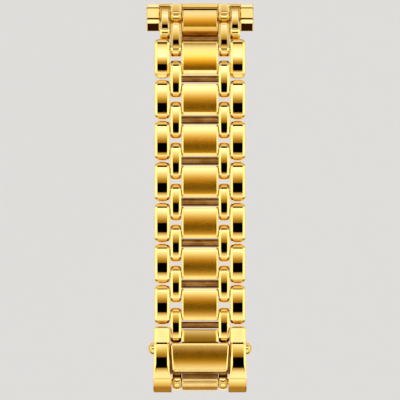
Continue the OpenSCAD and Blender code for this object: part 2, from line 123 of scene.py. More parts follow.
@dataclass(frozen=True)
class Strap:
    """Driving sizes of the strap, in millimetres and degrees, as the CAD source has them.

    A bore of held_r holds its pin, and one of run_r turns on it. lower_pin is where the clasp's
    lower pin lies, seen from the last pin of the strap.
    """

    rows: int = 8
    link_r: float = 1.6
    row_span: float = 4.2
    mid_span: float = 3.4
    centre_x: float = 3.35
    side_gap: float = 0.07
    mid_w: float = 2.1
    outer_w: float = 2.8
    first_outer_w: float = 1.85
    end_x: float = 9.95
    centre_reach: float = 0.9
    crown_r: float = 20.0
    corner_r: float = 0.8
    held_r: float = 0.462
    run_r: float = 0.49
    bridge_r: float = 0.62
    hinge_front: float = 2.0
    hinge_up: float = 1.07
    first_lean: float = 70.0
    hinge_bend: float = 20.0
    lower_pin: Pair = (0.6, -8.75)

    @property
    def mid_x(self) -> float:
        """Inner face of the intermediate links' lobes."""
        return self.centre_x + self.side_gap

    @property
    def outer_x(self) -> float:
        """Inner face of the outer links."""
        return self.mid_x + self.mid_w + self.side_gap

    @property
    def shoulder_x(self) -> float:
        """Inner face of the end piece's shoulders."""
        return self.outer_x + self.first_outer_w + self.side_gap

    @property
    def last_pin(self) -> Pair:
        """Place of the pin that the clasp hangs on."""
        return self.pin(2 * self.rows + 1)

    def lean(self, segment: int) -> float:
        """Lean of a segment from the vertical, in degrees."""
        return max(0.0, self.first_lean - segment * self.hinge_bend)

    def pin(self, index: int) -> Pair:
        """Place of a strap pin.

        Args:
            index: 0 at the end piece, and 17 at the clasp.

        Returns:
            Its y and z. Each pin lies one span further down the lean of its segment.
        """
        y, z = -self.hinge_front, self.hinge_up
        for segment in range(index):
            span = self.mid_span if segment % 2 == 0 else self.row_span
            turn = math.radians(self.lean(segment))
            y, z = y - span * math.sin(turn), z - span * math.cos(turn)
        return y, z


STRAP = Strap()


# Shader maths


class Sock:
    """An output socket that adds Math nodes when it is used in an expression."""

    def __init__(self, graph: "Graph", socket: Any) -> None:
        """Keeps the socket and the graph that new nodes go into."""
        self.graph, self.socket = graph, socket

    def _math(self, operation: str, first: Any, second: Any) -> "Sock":
        """Adds one Math node on two values."""
        return self.graph.node("ShaderNodeMath", {"operation": operation}, {0: first, 1: second})

    def __add__(self, other: Any) -> "Sock":
        """Sum of two values."""
        return self._math("ADD", self, other)

    def __sub__(self, other: Any) -> "Sock":
        """Difference of two values."""
        return self._math("SUBTRACT", self, other)

    def __rsub__(self, other: Any) -> "Sock":
        """Difference with the plain number first."""
        return self._math("SUBTRACT", other, self)

    def __mul__(self, other: Any) -> "Sock":
        """Product of two values."""
        return self._math("MULTIPLY", self, other)

    def above(self, low: float, high: float) -> "Sock":
        """Rises from 0 at low to 1 at high, with soft ends."""
        inputs = {"Value": self, "From Min": low, "From Max": high}
        return self.graph.node("ShaderNodeMapRange", {"interpolation_type": "SMOOTHSTEP"}, inputs)

    __radd__ = __add__
    __rmul__ = __mul__


class Graph:
    """Node tree of one material or of the world."""

    def __init__(self, tree: bpy.types.NodeTree) -> None:
        """Empties the tree."""
        self.tree = tree
        tree.nodes.clear()

    def node(self, kind: str, settings: dict[str, Any], inputs: dict[Any, Any], out: Any = 0) -> Sock:
        """Makes one node.

        Args:
            kind: Blender's type name of the node.
            settings: Attributes set before anything else.
            inputs: Values or links by socket name or number.
            out: Name or number of the output that is wanted.

        Returns:
            That output, wrapped.
        """
        made = self.tree.nodes.new(kind)
        for key, value in settings.items():
            setattr(made, key, value)
        for key, value in inputs.items():
            if isinstance(value, Sock):
                self.tree.links.new(value.socket, made.inputs[key])
            elif made.inputs[key].type == "RGBA":
                made.inputs[key].default_value = (*value[:3], 1.0)
            else:
                made.inputs[key].default_value = value
        return Sock(self, made.outputs[out] if made.outputs else None)

    def attribute(self, name: str, out: str = "Fac") -> Sock:
        """Value of an attribute of the mesh."""
        return self.node("ShaderNodeAttribute", {"attribute_name": name}, {}, out)

    def where(self) -> Sock:
        """Object coordinates."""
        return self.node("ShaderNodeTexCoord", {}, {}, "Object")

    def axis(self, where: Sock, letter: str) -> Sock:
        """One of the three numbers of a vector."""
        return self.node("ShaderNodeSeparateXYZ", {}, {"Vector": where}, letter)

    def noise(self, scale: Triple, detail: float = 3.0) -> Sock:
        """Noise on Object coordinates, with its own scale along each axis, per metre."""
        spot = self.node("ShaderNodeMapping", {}, {"Vector": self.where(), "Scale": scale})
        return self.node("ShaderNodeTexNoise", {}, {"Vector": spot, "Scale": 1.0, "Detail": detail})

    def blend(self, amount: Any, low: Any, high: Any) -> Sock:
        """Mix of two colours."""
        settings = {"data_type": "RGBA"}
        return self.node("ShaderNodeMix", settings, {"Factor": amount, 6: low, 7: high}, 2)

    def bump(self, height: Sock, strength: float, depth: float, under: Sock | None = None) -> Sock:
        """Bump of a surface.

        Args:
            height: Its height, from 0 to 1.
            strength: How much of it shows.
            depth: What a height of 1 stands for, in millimetres.
            under: Bump that it lies on.

        Returns:
            The bent normal.
        """
        inputs: dict[Any, Any] = {"Height": height, "Strength": strength, "Distance": depth * MM}
        if under is not None:
            inputs["Normal"] = under
        return self.node("ShaderNodeBump", {}, inputs)

    def show(self, shader: Sock, output: str = "ShaderNodeOutputMaterial") -> None:
        """Leads a shader to the tree's output."""
        self.node(output, {}, {"Surface": shader})


def new_material(name: str) -> tuple[Graph, bpy.types.Material]:
    """Makes an empty node material.

    Args:
        name: Name of the material.

    Returns:
        Its graph and the material.
    """
    made = bpy.data.materials.new(name)
    made.use_nodes = True
    return Graph(made.node_tree), made


# Finishes


@dataclass(frozen=True)
class Gold:
    """A gold finish. Triples of the kinds below are colours, or noise scales per metre."""

    name: str = "gold"

    def material(self) -> bpy.types.Material:
        """Makes the material.

        Returns:
            The material, with a metal shader that the kind of finish feeds.
        """
        graph, made = new_material(self.name)
        inputs = {"Metallic": 1.0, **self.feed(graph)}
        graph.show(graph.node("ShaderNodeBsdfPrincipled", {}, inputs))
        return made

    def feed(self, graph: Graph) -> dict[str, Sock]:
        """What feeds the shader, by socket name. Each kind has its own."""
        return {}


@dataclass(frozen=True)
class PolishedGold(Gold):
    """Bright gold with faint wipe marks, and edges worn a little paler."""

    name: str = "polished_gold"
    colour: Triple = (0.95, 0.695, 0.22)
    deep: Triple = (0.91, 0.635, 0.175)
    worn: Triple = (0.97, 0.75, 0.31)
    gloss: float = 0.035
    cloud: Triple = (220, 220, 220)
    wipe: Triple = (1500, 260, 260)
    fleck: Triple = (2600, 2600, 2600)
    wave: Triple = (150, 150, 150)

    def feed(self, graph: Graph) -> dict[str, Sock]:
        """Clouds and worn edges in the colour, wipe marks in the roughness, and two soft bumps.

        Args:
            graph: Where the nodes go.

        Returns:
            What feeds the shader, by socket name.
        """
        wipe = graph.noise(self.wipe, 4.0)
        tone = graph.blend(graph.noise(self.cloud).above(0.3, 0.7), self.deep, self.colour)
        edge = graph.attribute("wear") * graph.noise(self.fleck, 2.0).above(0.25, 0.75)
        wave = graph.bump(graph.noise(self.wave, 1.0), 0.12, 0.01)
        return {
            "Base Color": graph.blend(edge * 0.7, tone, self.worn),
            "Roughness": self.gloss + wipe.above(0.5, 0.8) * 0.02 + edge * 0.10,
            "Normal": graph.bump(wipe, 0.025, 0.004, wave),
        }


@dataclass(frozen=True)
class BrushedGold(Gold):
    """Satin gold with fine lines along the strap, and painted shade that is darkest at one height of each
    piece.
    """

    name: str = "brushed_gold"
    # high and low are the lit and the shaded ends of a painted shade.
    high: Triple = (1.0, 0.79, 0.27)
    low: Triple = (0.98, 0.45, 0.012)
    groove: Triple = (0.84, 0.47, 0.05)
    gloss: float = 0.19
    line: Triple = (14000, 320, 320)
    fine: Triple = (34000, 900, 900)

    def feed(self, graph: Graph) -> dict[str, Sock]:
        """Streaks of noise drawn out along Z, on a tone of painted shade that lightens away from the
        height where each piece is darkest.

        Args:
            graph: Where the nodes go.

        Returns:
            What feeds the shader, by socket name.
        """
        line, fine = graph.noise(self.line), graph.noise(self.fine, 2.0)
        streak = line * 0.6 + fine * 0.4
        # Painted shade: the tone is low where the piece is painted darkest and rises to high away from it.
        tone = graph.blend(graph.attribute("run").above(0.15, 0.95), self.low, self.high)
        worn = graph.attribute("wear") * 0.08
        return {
            "Base Color": graph.blend(0.35 - streak.above(0.3, 0.7) * 0.35, tone, self.groove),
            "Roughness": self.gloss + streak.above(0.35, 0.7) * 0.05 - worn,
            "Normal": graph.bump(fine, 0.14, 0.003, graph.bump(line, 0.16, 0.006)),
        }


@dataclass(frozen=True)
class SatinGold(Gold):
    """Plain tumbled gold of the blades, pins and rivets."""

    name: str = "satin_gold"
    colour: Triple = (0.92, 0.65, 0.22)
    deep: Triple = (0.82, 0.54, 0.15)
    gloss: float = 0.27
    cloud: Triple = (350, 350, 350)
    grain: Triple = (9000, 9000, 700)
    scuff: Triple = (500, 4200, 4200)

    def feed(self, graph: Graph) -> dict[str, Sock]:
        """Clouds in the colour, and scuffs over a fine grain in the bump.

        Args:
            graph: Where the nodes go.

        Returns:
            What feeds the shader, by socket name.
        """
        cloud, scuff = graph.noise(self.cloud, 4.0), graph.noise(self.scuff)
        grain = graph.bump(graph.noise(self.grain, 2.0), 0.18, 0.004)
        return {
            "Base Color": graph.blend(cloud.above(0.3, 0.7), self.deep, self.colour),
            "Roughness": self.gloss + cloud * 0.10 + scuff.above(0.55, 0.8) * 0.08,
            "Normal": graph.bump(scuff, 0.12, 0.004, grain),
        }


@dataclass(frozen=True)
class RecessGold(Gold):
    """Unpolished gold of the bridge bars and of the clasp's web, crossbar and neck, which lie deep between
    other parts, painted darker with shade.
    """

    name: str = "recess_gold"
    # Both colours are painted shade: the gold is darkened where it lies deep.
    colour: Triple = (0.46, 0.24, 0.06)
    deep: Triple = (0.27, 0.12, 0.02)
    gloss: float = 0.30
    cloud: Triple = (500, 900, 900)
    ring: Triple = (16000, 500, 500)

    def feed(self, graph: Graph) -> dict[str, Sock]:
        """Clouds in the colour, and turning marks round the bar in the bump.

        Args:
            graph: Where the nodes go.

        Returns:
            What feeds the shader, by socket name.
        """
        cloud = graph.noise(self.cloud, 4.0)
        return {
            "Base Color": graph.blend(cloud.above(0.3, 0.7), self.deep, self.colour),
            "Roughness": self.gloss + cloud * 0.12,
            "Normal": graph.bump(graph.noise(self.ring, 2.0), 0.25, 0.004),
        }


@dataclass(frozen=True)
class LobeGold(Gold):
    """Finish of the base blade: brushed on its front lobe, bright on the lobe's bevels, satin behind.

    The lobe is what lies in front of front_y, and its bevels lie further out than half. Places and
    the widths of the soft steps there are in millimetres.
    """

    name: str = "base_blade_gold"
    front_y: float = -11.7
    front_step: float = 0.2
    half: float = 3.05
    half_step: float = 0.03
    shade_z: Pair = (-60.0, -57.0)
    brushed: Triple = (1.0, 0.70, 0.20)
    shaded: Triple = (0.42, 0.20, 0.01)
    satin: Triple = (0.88, 0.63, 0.24)
    line: Triple = (14000, 320, 320)
    cloud: Triple = (350, 350, 350)

    def feed(self, graph: Graph) -> dict[str, Sock]:
        """Mixes the three parts by masks on x and y, and shades the lobe downwards.

        Args:
            graph: Where the nodes go.

        Returns:
            What feeds the shader, by socket name.
        """
        where = graph.where()
        across = graph.node("ShaderNodeMath", {"operation": "ABSOLUTE"}, {0: graph.axis(where, "X")})
        front = 1.0 - self._step(graph.axis(where, "Y"), self.front_y, self.front_step)
        bevel = front * self._step(across, self.half, self.half_step)
        low, high = self.shade_z
        lit = graph.blend(graph.axis(where, "Z").above(low * MM, high * MM), self.shaded, self.brushed)
        grain = graph.noise(self.line) * front + graph.noise(self.cloud, 4.0) * (1.0 - front)
        return {
            "Base Color": graph.blend(bevel, graph.blend(front, self.satin, lit), self.brushed),
            "Roughness": 0.18 + front * 0.1 + grain * 0.08 - bevel * 0.24,
            "Normal": graph.bump(grain, 0.2, 0.006),
        }

    @staticmethod
    def _step(value: Sock, middle: float, half: float) -> Sock:
        """Soft step about a place in millimetres."""
        return value.above((middle - half) * MM, (middle + half) * MM)


@dataclass
class Finishes:
    """The finishes of the strap, each made once."""

    polished: bpy.types.Material = field(default_factory=PolishedGold().material)
    # Brushed gold with painted shade, darkest at one height of each piece.
    brushed: bpy.types.Material = field(default_factory=BrushedGold().material)
    satin: bpy.types.Material = field(default_factory=SatinGold().material)
    # Gold painted darker with shade, for bars that lie deep between other parts.
    recess: bpy.types.Material = field(default_factory=RecessGold().material)
    lobe: bpy.types.Material = field(default_factory=LobeGold().material)


# Outlines and shells


@dataclass(frozen=True)
class Place:
    """Where a piece's own y and z start, and how far it leans forward from the vertical."""

    y: float = 0.0
    z: float = 0.0
    lean: float = 0.0

    def put(self, points: Rows) -> Rows:
        """Turns points about X by minus the lean, then moves them.

        Args:
            points: (..., 3) array of x, y, z.

        Returns:
            The array in strap millimetres.
        """
        turn = math.radians(-self.lean)
        x, y, z = np.moveaxis(points, -1, 0)
        across = y * math.cos(turn) - z * math.sin(turn) + self.y
        along = y * math.sin(turn) + z * math.cos(turn) + self.z
        return np.stack([x, across, along], axis=-1)


@dataclass(frozen=True)
class Edge:
    """Bevel between a front or back face and a side face."""

    wide: float = 0.5
    deep: float = 0.32
    back_share: float = 0.4
    cap: float = 0.85
    soft: float = 0.09

    def section(self, scale: float) -> Rows:
        """Half section across a bar, from its side face to its front face.

        The corners are (0, cap), (0, deep), (wide, 0) and a little further in. Both middle corners
        are rounded: a point of each arc is the quadratic blend of its corner and the two points
        that lie one tangent length from it. Each flat has a point close to each arc's end.

        Args:
            scale: 1 for the full bevel.

        Returns:
            (m, 2) array of inward distance from the side face and depth below the outline.
        """
        wide, deep, soft = self.wide * scale, self.deep * scale, self.soft * scale
        slope = np.array([wide, -deep]) / math.hypot(wide, deep)
        lower, upper = np.array([0.0, deep]), np.array([wide, 0.0])
        down, ahead = np.array([0.0, -1.0]), np.array([1.0, 0.0])
        near, clear, beyond = 1.25 * soft, 1.6 * soft, 1.8 * soft
        depth = np.linspace(self.cap, deep + clear, CORNER)
        side = np.stack([np.zeros(CORNER), depth], axis=1)
        first = self._round(lower, down, slope, soft)
        second = self._round(upper, slope, ahead, soft)
        face = upper + ahead * beyond
        return np.vstack([side, first, lower + slope * near, upper - slope * near, second, face])

    @staticmethod
    def _round(corner: Rows, before: Rows, after: Rows, soft: float) -> Rows:
        """Points round a corner.

        Args:
            corner: The corner.
            before: Direction that leads to it.
            after: Direction that leads on.
            soft: Tangent length.

        Returns:
            (CORNER, 2) array, the quadratic blend of the section's docstring.
        """
        share = np.linspace(0.0, 1.0, CORNER)[:, None]
        start, stop = corner - before * soft, corner + after * soft
        return (1 - share) ** 2 * start + 2 * share * (1 - share) * corner + share**2 * stop


def arc(centre: Pair, radius: float, start: float, stop: float, count: int) -> Rows:
    """Points of a circle, at centre plus radius times (cos, sin) of evenly spaced angles in degrees."""
    turn = np.radians(np.linspace(start, stop, count))
    return np.stack([centre[0] + radius * np.cos(turn), centre[1] + radius * np.sin(turn)], axis=1)


def circle(count: int) -> Rows:
    """Points of the unit circle, at (cos, sin) of evenly spaced angles."""
    return arc((0.0, 0.0), 1.0, 0, 360, count + 1)[:-1]


def rounded(corners: Sequence[Sequence[float]], step: float = 8.0) -> Rows:
    """Closed outline with rounded corners.

    The arc of a corner touches both edges at radius times the tangent of half the turn, and its
    points are the corner's bisector centre plus radius times the turning normal.

    Args:
        corners: (y, z, radius) of each corner, in order.
        step: Most degrees that one piece of an arc turns.

    Returns:
        (n, 2) array, with close points at both ends of each long edge so that flats shade flat.
    """
    rows = np.asarray(corners, dtype=float)
    spots, radii = rows[:, :2], rows[:, 2]
    parts = []
    for here, before, after, radius in zip(spots, np.roll(spots, 1, 0), np.roll(spots, -1, 0), radii):
        come, leave = here - before, after - here
        come, leave = come / np.linalg.norm(come), leave / np.linalg.norm(leave)
        turn = math.atan2(come[0] * leave[1] - come[1] * leave[0], float(come @ leave))
        if radius == 0 or abs(turn) < STRAIGHT:
            parts.append(here[None, :])
            continue
        start = here - come * radius * math.tan(abs(turn) / 2)
        normal = np.array([-come[1], come[0]]) * math.copysign(1.0, turn)
        centre = start + normal * radius
        angles = np.linspace(0.0, turn, max(3, int(abs(math.degrees(turn)) / step) + 2))
        first = start - centre
        cos, sin = np.cos(angles), np.sin(angles)
        turned = [first[0] * cos - first[1] * sin, first[0] * sin + first[1] * cos]
        parts.append(centre + np.stack(turned, axis=1))
    return support(np.vstack(parts))


def with_radii(points: Rows, ends: float = 0.0) -> list[list[float]]:
    """Outline points with their corner radii.

    Args:
        points: (n, 2) stretch of an outline.
        ends: Radius at its first and last point. The points between have none.

    Returns:
        (y, z, radius) of each point.
    """
    radii = np.zeros(len(points))
    radii[[0, -1]] = ends
    return np.column_stack([points, radii]).tolist()


def support(points: Rows, reach: float = 0.05, least: float = 0.5) -> Rows:
    """Adds two points to each long edge of an outline, so that its flat shades flat.

    Args:
        points: (n, 2) closed outline.
        reach: How far from its ends an edge gets them.
        least: Length from which an edge is long.

    Returns:
        The longer outline.
    """
    ahead = np.roll(points, -1, 0)
    step = ahead - points
    length = np.linalg.norm(step, axis=1)
    long = length > least
    unit = step / np.maximum(length, TINY)[:, None]
    rows = np.stack([points, points + unit * reach, ahead - unit * reach], axis=1)
    keep = np.stack([np.ones_like(long), long, long], axis=1)
    return rows[keep]


@dataclass(frozen=True)
class Bore:
    """Blind round hole in a side face, with a fine chamfer."""

    y: float
    z: float
    radius: float
    depth: float = 0.6
    chamfer: float = 0.03
    count: int = 40

    def wall(self) -> Rows:
        """Its rings: a point lies at the centre plus the ring's radius times (cos, sin).

        Returns:
            (3, count, 3) array of the depth below the side face, y and z, from the mouth inwards.
        """
        radii = self.radius + np.array([self.chamfer, 0.0, 0.0])
        spots = np.array([self.y, self.z]) + circle(self.count)[None] * radii[:, None, None]
        steps = np.array([0.0, self.chamfer, self.depth])[:, None, None]
        return np.concatenate([np.broadcast_to(steps, (len(radii), self.count, 1)), spots], axis=2)


@dataclass
class Shell:
    """Points and faces of one piece, gathered before they become a mesh."""

    points: list[Rows] = field(default_factory=list)
    faces: list[list[int]] = field(default_factory=list)
    grains: list[int] = field(default_factory=list)
    wear: list[Rows] = field(default_factory=list)
    # Lightening of the painted shade of brushed faces, by point.
    run: list[Rows] = field(default_factory=list)
    count: int = 0

    def add_points(self, points: Rows, wear: Rows | float = 0.0, run: Rows | float = 0.5) -> int:
        """Adds points.

        Args:
            points: (..., 3) array.
            wear: Share of edge wear of each.
            run: How far the painted shade of a brushed face has lightened, from 0 where it is darkest.

        Returns:
            Number of the first point.
        """
        first = self.count
        flat = points.reshape(-1, 3)
        self.points.append(flat)
        for rows, value in ((self.wear, wear), (self.run, run)):
            rows.append(np.broadcast_to(np.ravel(value).astype(float), flat.shape[:1]))
        self.count += len(flat)
        return first

    def add_faces(self, faces: Rows, grain: Rows | int = 0) -> None:
        """Adds faces of one corner count, with the number of their material."""
        self.faces.extend(faces.tolist())
        self.grains.extend(np.broadcast_to(np.ravel(grain), (len(faces),)).tolist())

    def grid(
        self, points: Rows, wear: Rows | float = 0.0, grain: Rows | int = 0, run: Rows | float = 0.5
    ) -> Rows:
        """Adds a grid that closes on itself along its columns.

        Args:
            points: (rows, columns, 3) array.
            wear: (rows, columns) share of edge wear, or one for all.
            grain: (rows - 1, columns) material numbers, or one for all.
            run: (rows, columns) lightening of the painted shade, or one for all.

        Returns:
            (rows, columns) numbers of its points.
        """
        rows, columns = points.shape[:2]
        index = self.add_points(points, wear, run) + np.arange(rows * columns).reshape(rows, columns)
        turned = np.roll(index, -1, axis=1)
        quads = np.stack([index[:-1], turned[:-1], turned[1:], index[1:]], axis=-1)
        self.add_faces(quads.reshape(-1, 4), grain)
        return index

    def fan(self, ring: Rows, centre: Rows) -> None:
        """Closes a ring with triangles about one more point.

        Args:
            ring: Numbers of the points round it.
            centre: (3,) place of the point.
        """
        middle = self.add_points(centre)
        self.add_faces(np.stack([ring, np.roll(ring, -1), np.full(len(ring), middle)], axis=1))

    def cap(
        self, ring: Rows, points: Rows, bores: Sequence[Bore], x: float, inward: float, place: Place
    ) -> None:
        """Closes one side of a bar with a flat face, cut by blind bores.

        Args:
            ring: Numbers of the points round the side.
            points: (n, 2) outline of that ring, y and z.
            bores: The bores.
            x: Where the side face is.
            inward: 1 or -1, the direction from the side face into the bar.
            place: Where the piece goes.
        """
        loops, numbers = [points], [np.asarray(ring)]
        for bore in bores:
            wall = bore.wall()
            loops.append(wall[0, :, 1:])
            wall[..., 0] = x + inward * wall[..., 0]
            index = self.grid(place.put(wall))
            self.fan(index[-1], place.put(np.array([x + inward * bore.depth, bore.y, bore.z])))
            numbers.append(index[0])
        flat = [[Vector((y, z, 0.0)) for y, z in loop] for loop in loops]
        order = np.concatenate(numbers)
        self.add_faces(order[np.array(tessellate_polygon(flat))])

    def lathe(
        self, profile: Sequence[Sequence[float]], axis: Pair, place: Place, count: int = 48, grain: int = 0
    ) -> None:
        """Adds a body turned about a line along X.

        Each profile point is an x and a radius; its ring is (x, y + radius cos a, z + radius sin a).
        The first and last rings are closed by fans.

        Args:
            profile: (x, radius) pairs.
            axis: The line's y and z.
            place: Where the piece goes.
            count: Points round each ring.
            grain: Number of its material.
        """
        rows = np.asarray(profile, dtype=float)
        spots = np.array(axis) + rows[:, 1, None, None] * circle(count)[None]
        across = np.broadcast_to(rows[:, 0, None, None], (len(rows), count, 1))
        index = self.grid(place.put(np.concatenate([across, spots], axis=2)), grain=grain)
        for end in (0, -1):
            self.fan(index[end], place.put(np.array([rows[end, 0], *axis])))

    def to_object(self, title: str, materials: Sequence[bpy.types.Material]) -> bpy.types.Object:
        """Makes the object, with outward faces, smooth shading and sharp edges.

        Args:
            title: Name of the object and its mesh.
            materials: Its materials by number.

        Returns:
            The object, linked to the scene.
        """
        mesh = bpy.data.meshes.new(title)
        mesh.from_pydata((np.vstack(self.points) * MM).tolist(), [], self.faces)
        for made in materials:
            mesh.materials.append(made)
        mesh.polygons.foreach_set("material_index", self.grains)
        # Edge wear, and the painted shade that brushed gold reads.
        for name, rows in (("wear", self.wear), ("run", self.run)):
            share = mesh.attributes.new(name, "FLOAT", "POINT")
            share.data.foreach_set("value", np.concatenate(rows).astype(np.float32))
        outward(mesh)
        mesh.shade_smooth()
        mesh.set_sharp_from_angle(angle=math.radians(SHARP))
        made = bpy.data.objects.new(title, mesh)
        bpy.context.scene.collection.objects.link(made)
        return made


def outward(mesh: bpy.types.Mesh) -> None:
    """Turns the faces of every closed shell of a mesh outwards.

    Args:
        mesh: The mesh.
    """
    work = bmesh.new()
    work.from_mesh(mesh)
    bmesh.ops.recalc_face_normals(work, faces=work.faces)
    work.to_mesh(mesh)
    work.free()


@dataclass
class Bar:
    """Body across the strap: a side outline carried from its left face to its right face.

    A point lies at the outline's point moved towards the spine by the bevel's depth, and at the
    left or right face moved inwards by the bevel's width. The bevel is full where the outline
    faces forward by more than one part in turn_in, smaller on its back, and scaled by bevel_share
    of the height. Where the way to the spine is oblique to the skin it is lengthened, by at most
    one part in oblique. The bevel's edges are worn, those of the back by back_wear. A brushed bar
    is brushed where it faces forward by more than brushed_from, and its brushed faces carry
    painted shade, darkest at the height share deep_at.
    """

    outline: Rows
    spine: tuple[Pair, Pair]
    left: Callable[[Rows], Rows]
    right: Callable[[Rows], Rows]
    edge: Edge = Edge()
    grain: Grain = Grain.POLISHED
    brushed_from: float = 0.0
    # Height share where the painted shade of brushed faces is darkest.
    deep_at: float = 0.2
    bevel_share: Callable[[Rows], Rows] = np.ones_like
    turn_in: float = 2.2
    least_bevel: float = 0.01
    oblique: float = 0.6
    back_wear: float = 0.3
    brushed_strips: int = 5
    bores: Sequence[Bore] = ()
    bored: Sequence[Side] = (Side.LEFT, Side.RIGHT)

    def build(self, shell: Shell, place: Place) -> None:
        """Adds the bar to a shell.

        Args:
            shell: What it goes into.
            place: Where it goes.
        """
        towards, normal = self._towards_spine()
        front = np.clip(-normal[:, 0] * self.turn_in, 0.0, 1.0)
        points = self._points(towards, front)
        rows = len(points)
        height = (points[..., 2] - points[..., 2].min()) / np.ptp(points[..., 2])
        # Painted shade: 0 at the darkest height, rising to 1 at the far end of the piece.
        run = np.abs(height - self.deep_at) / max(self.deep_at, 1 - self.deep_at)
        wear = self._worn(rows)[:, None] * (self.back_wear + (1 - self.back_wear) * front)
        grain = np.zeros((rows - 1, len(self.outline)), dtype=int)
        if self.grain is Grain.BRUSHED:
            first = (rows - 1 - self.brushed_strips) // 2
            grain[first : first + self.brushed_strips] = self._brushed(normal)
        before = len(shell.grains)
        index = shell.grid(place.put(points), wear, grain, run)
        for side, row in ((Side.LEFT, 0), (Side.RIGHT, -1)):
            bores = self.bores if side in self.bored else ()
            x = float(points[row, :, 0].mean())
            shell.cap(index[row], points[row, :, 1:], bores, x, -side.value, place)
        if self.grain is Grain.RECESSED:
            shell.grains[before:] = [self.grain.value] * (len(shell.grains) - before)

    def _points(self, towards: Rows, front: Rows) -> Rows:
        """Points of the skin, by the rule of the class.

        Args:
            towards: Direction from each outline point to the spine.
            front: How much each faces forward, from 0 to 1.

        Returns:
            (rows, n, 3) array, from the left face's ring to the right face's.
        """
        scale = self.edge.back_share + (1 - self.edge.back_share) * front
        scale = scale * self.bevel_share(self.outline[:, 1])
        full, small = self.edge.section(1.0), self.edge.section(self.least_bevel)
        inset = np.moveaxis(small[None] + (full - small)[None] * scale[:, None, None], 1, 0)
        flat = self.outline[None] + towards[None] * inset[:, :, 1:]
        left = (self.left(flat[..., 1]) + inset[..., 0])[..., None]
        right = (self.right(flat[..., 1]) - inset[..., 0])[..., None]
        halves = [np.concatenate([side, flat], axis=2) for side in (left, right)]
        return np.concatenate([halves[0], halves[1][::-1]])

    @staticmethod
    def _worn(rows: int) -> Rows:
        """Share of edge wear by row: 1 at the middle of each rounded corner of the bevels.

        Args:
            rows: Number of rows of the skin.

        Returns:
            (rows,) array, the same from both ends.
        """
        half = np.zeros(rows // 2)
        half[CORNER + 1 : 2 * CORNER - 1] = half[-CORNER : 3 - CORNER] = 1.0
        return np.concatenate([half, half[::-1]])

    def _towards_spine(self) -> tuple[Rows, Rows]:
        """Works out where the skin goes inwards.

        Returns:
            Direction from each outline point to the nearest spine point, longer where it is
            oblique to the skin, and the outward normal.
        """
        start, stop = np.array(self.spine[0]), np.array(self.spine[1])
        along = stop - start
        share = np.clip((self.outline - start) @ along / max(along @ along, TINY), 0, 1)
        towards = start + share[:, None] * along - self.outline
        towards /= np.linalg.norm(towards, axis=1)[:, None]
        tangent = np.roll(self.outline, -1, 0) - np.roll(self.outline, 1, 0)
        tangent /= np.linalg.norm(tangent, axis=1)[:, None]
        normal = np.stack([tangent[:, 1], -tangent[:, 0]], axis=1)
        normal *= np.sign(-(normal * towards).sum(axis=1).mean())
        lean = np.clip(-(normal * towards).sum(axis=1), self.oblique, 1.0)
        return towards / lean[:, None], normal

    def _brushed(self, normal: Rows) -> Rows:
        """1 for each strip of the outline that faces forward enough to be brushed."""
        ahead = np.minimum(-normal[:, 0], -np.roll(normal, -1, 0)[:, 0])
        return (ahead > self.brushed_from).astype(int)


def still(x: float) -> Callable[[Rows], Rows]:
    """Side face that stays at one x."""
    return lambda z: np.full_like(z, x)


def corner_inset(z: Rows, top: float, low: float, radius: float) -> Rows:
    """How far the rounded plan corners of a face cut in.

    It is the radius less the root of radius squared less past squared, where past is the height
    beyond the corner's centre and stays a little under the radius.

    Args:
        z: Heights.
        top: Upper end of the face.
        low: Lower end of the face.
        radius: Radius of both corners.

    Returns:
        The inset at each height.
    """
    past = np.clip(np.maximum(z - (top - radius), (low + radius) - z), 0, radius * ALMOST)
    return radius - np.sqrt(radius**2 - past**2)


# Strap pieces


def round_outline(span: float, lip: float = 0.052, radii: Triple = (0.12, 0.04, 0.2)) -> Rows:
    """Side outline of a link rounded about its pins, with a crowned front.

    The front is a circle of the crown radius about (crown - link, -span / 2). It meets the circle
    of each end where both are equally far from its centre.

    Args:
        span: Distance between the link's pins.
        lip: How far the front's upper corner steps back.
        radii: Corner radii of the lip's upper and lower edge, and of the front's lower end.

    Returns:
        Closed outline.
    """
    crown, link = STRAP.crown_r, STRAP.link_r
    steepest, tries = 60.0, 601
    turn = np.radians(np.linspace(steepest, 0.0, tries))
    gap = (crown - link + link * np.cos(turn)) ** 2 + (link * np.sin(turn) + span / 2) ** 2 - crown**2
    meet = math.degrees(float(np.interp(0.0, gap, turn)))
    tilt = math.degrees(math.asin((link * math.sin(math.radians(meet)) + span / 2) / crown))
    front = arc((crown - link, -span / 2), crown, 180 - tilt, 180 + tilt, count=23)
    front[0, 0] += lip
    lower = arc((0.0, -span), link, 180 + meet, 360, count=20)
    upper = arc((0.0, 0.0), link, 0, 180 - meet, count=20)
    spots = np.vstack([front, lower[1:], upper[:-1]])
    corner_radii = np.zeros(len(spots))
    corner_radii[[0, 1, len(front) - 1]] = radii
    return rounded(np.column_stack([spots, corner_radii]))


def stoop(outline: Rows, bend: float, front_share: float = 0.7) -> Rows:
    """Bends the front of an outline back towards its lower end.

    A front point moves back by bend / 2 * (its distance below the top) ** 2, and a point nearer to
    the pins by less.

    Args:
        outline: Closed side outline, in millimetres.
        bend: Added curvature, per millimetre.
        front_share: Share of the link's radius from which a point counts as front.

    Returns:
        The bent outline.
    """
    y, z = outline[:, 0], outline[:, 1]
    share = np.clip(-y / (front_share * STRAP.link_r), 0, 1)
    return np.column_stack([y + share * bend / 2 * (z.max() - z) ** 2, outline[:, 1:]])


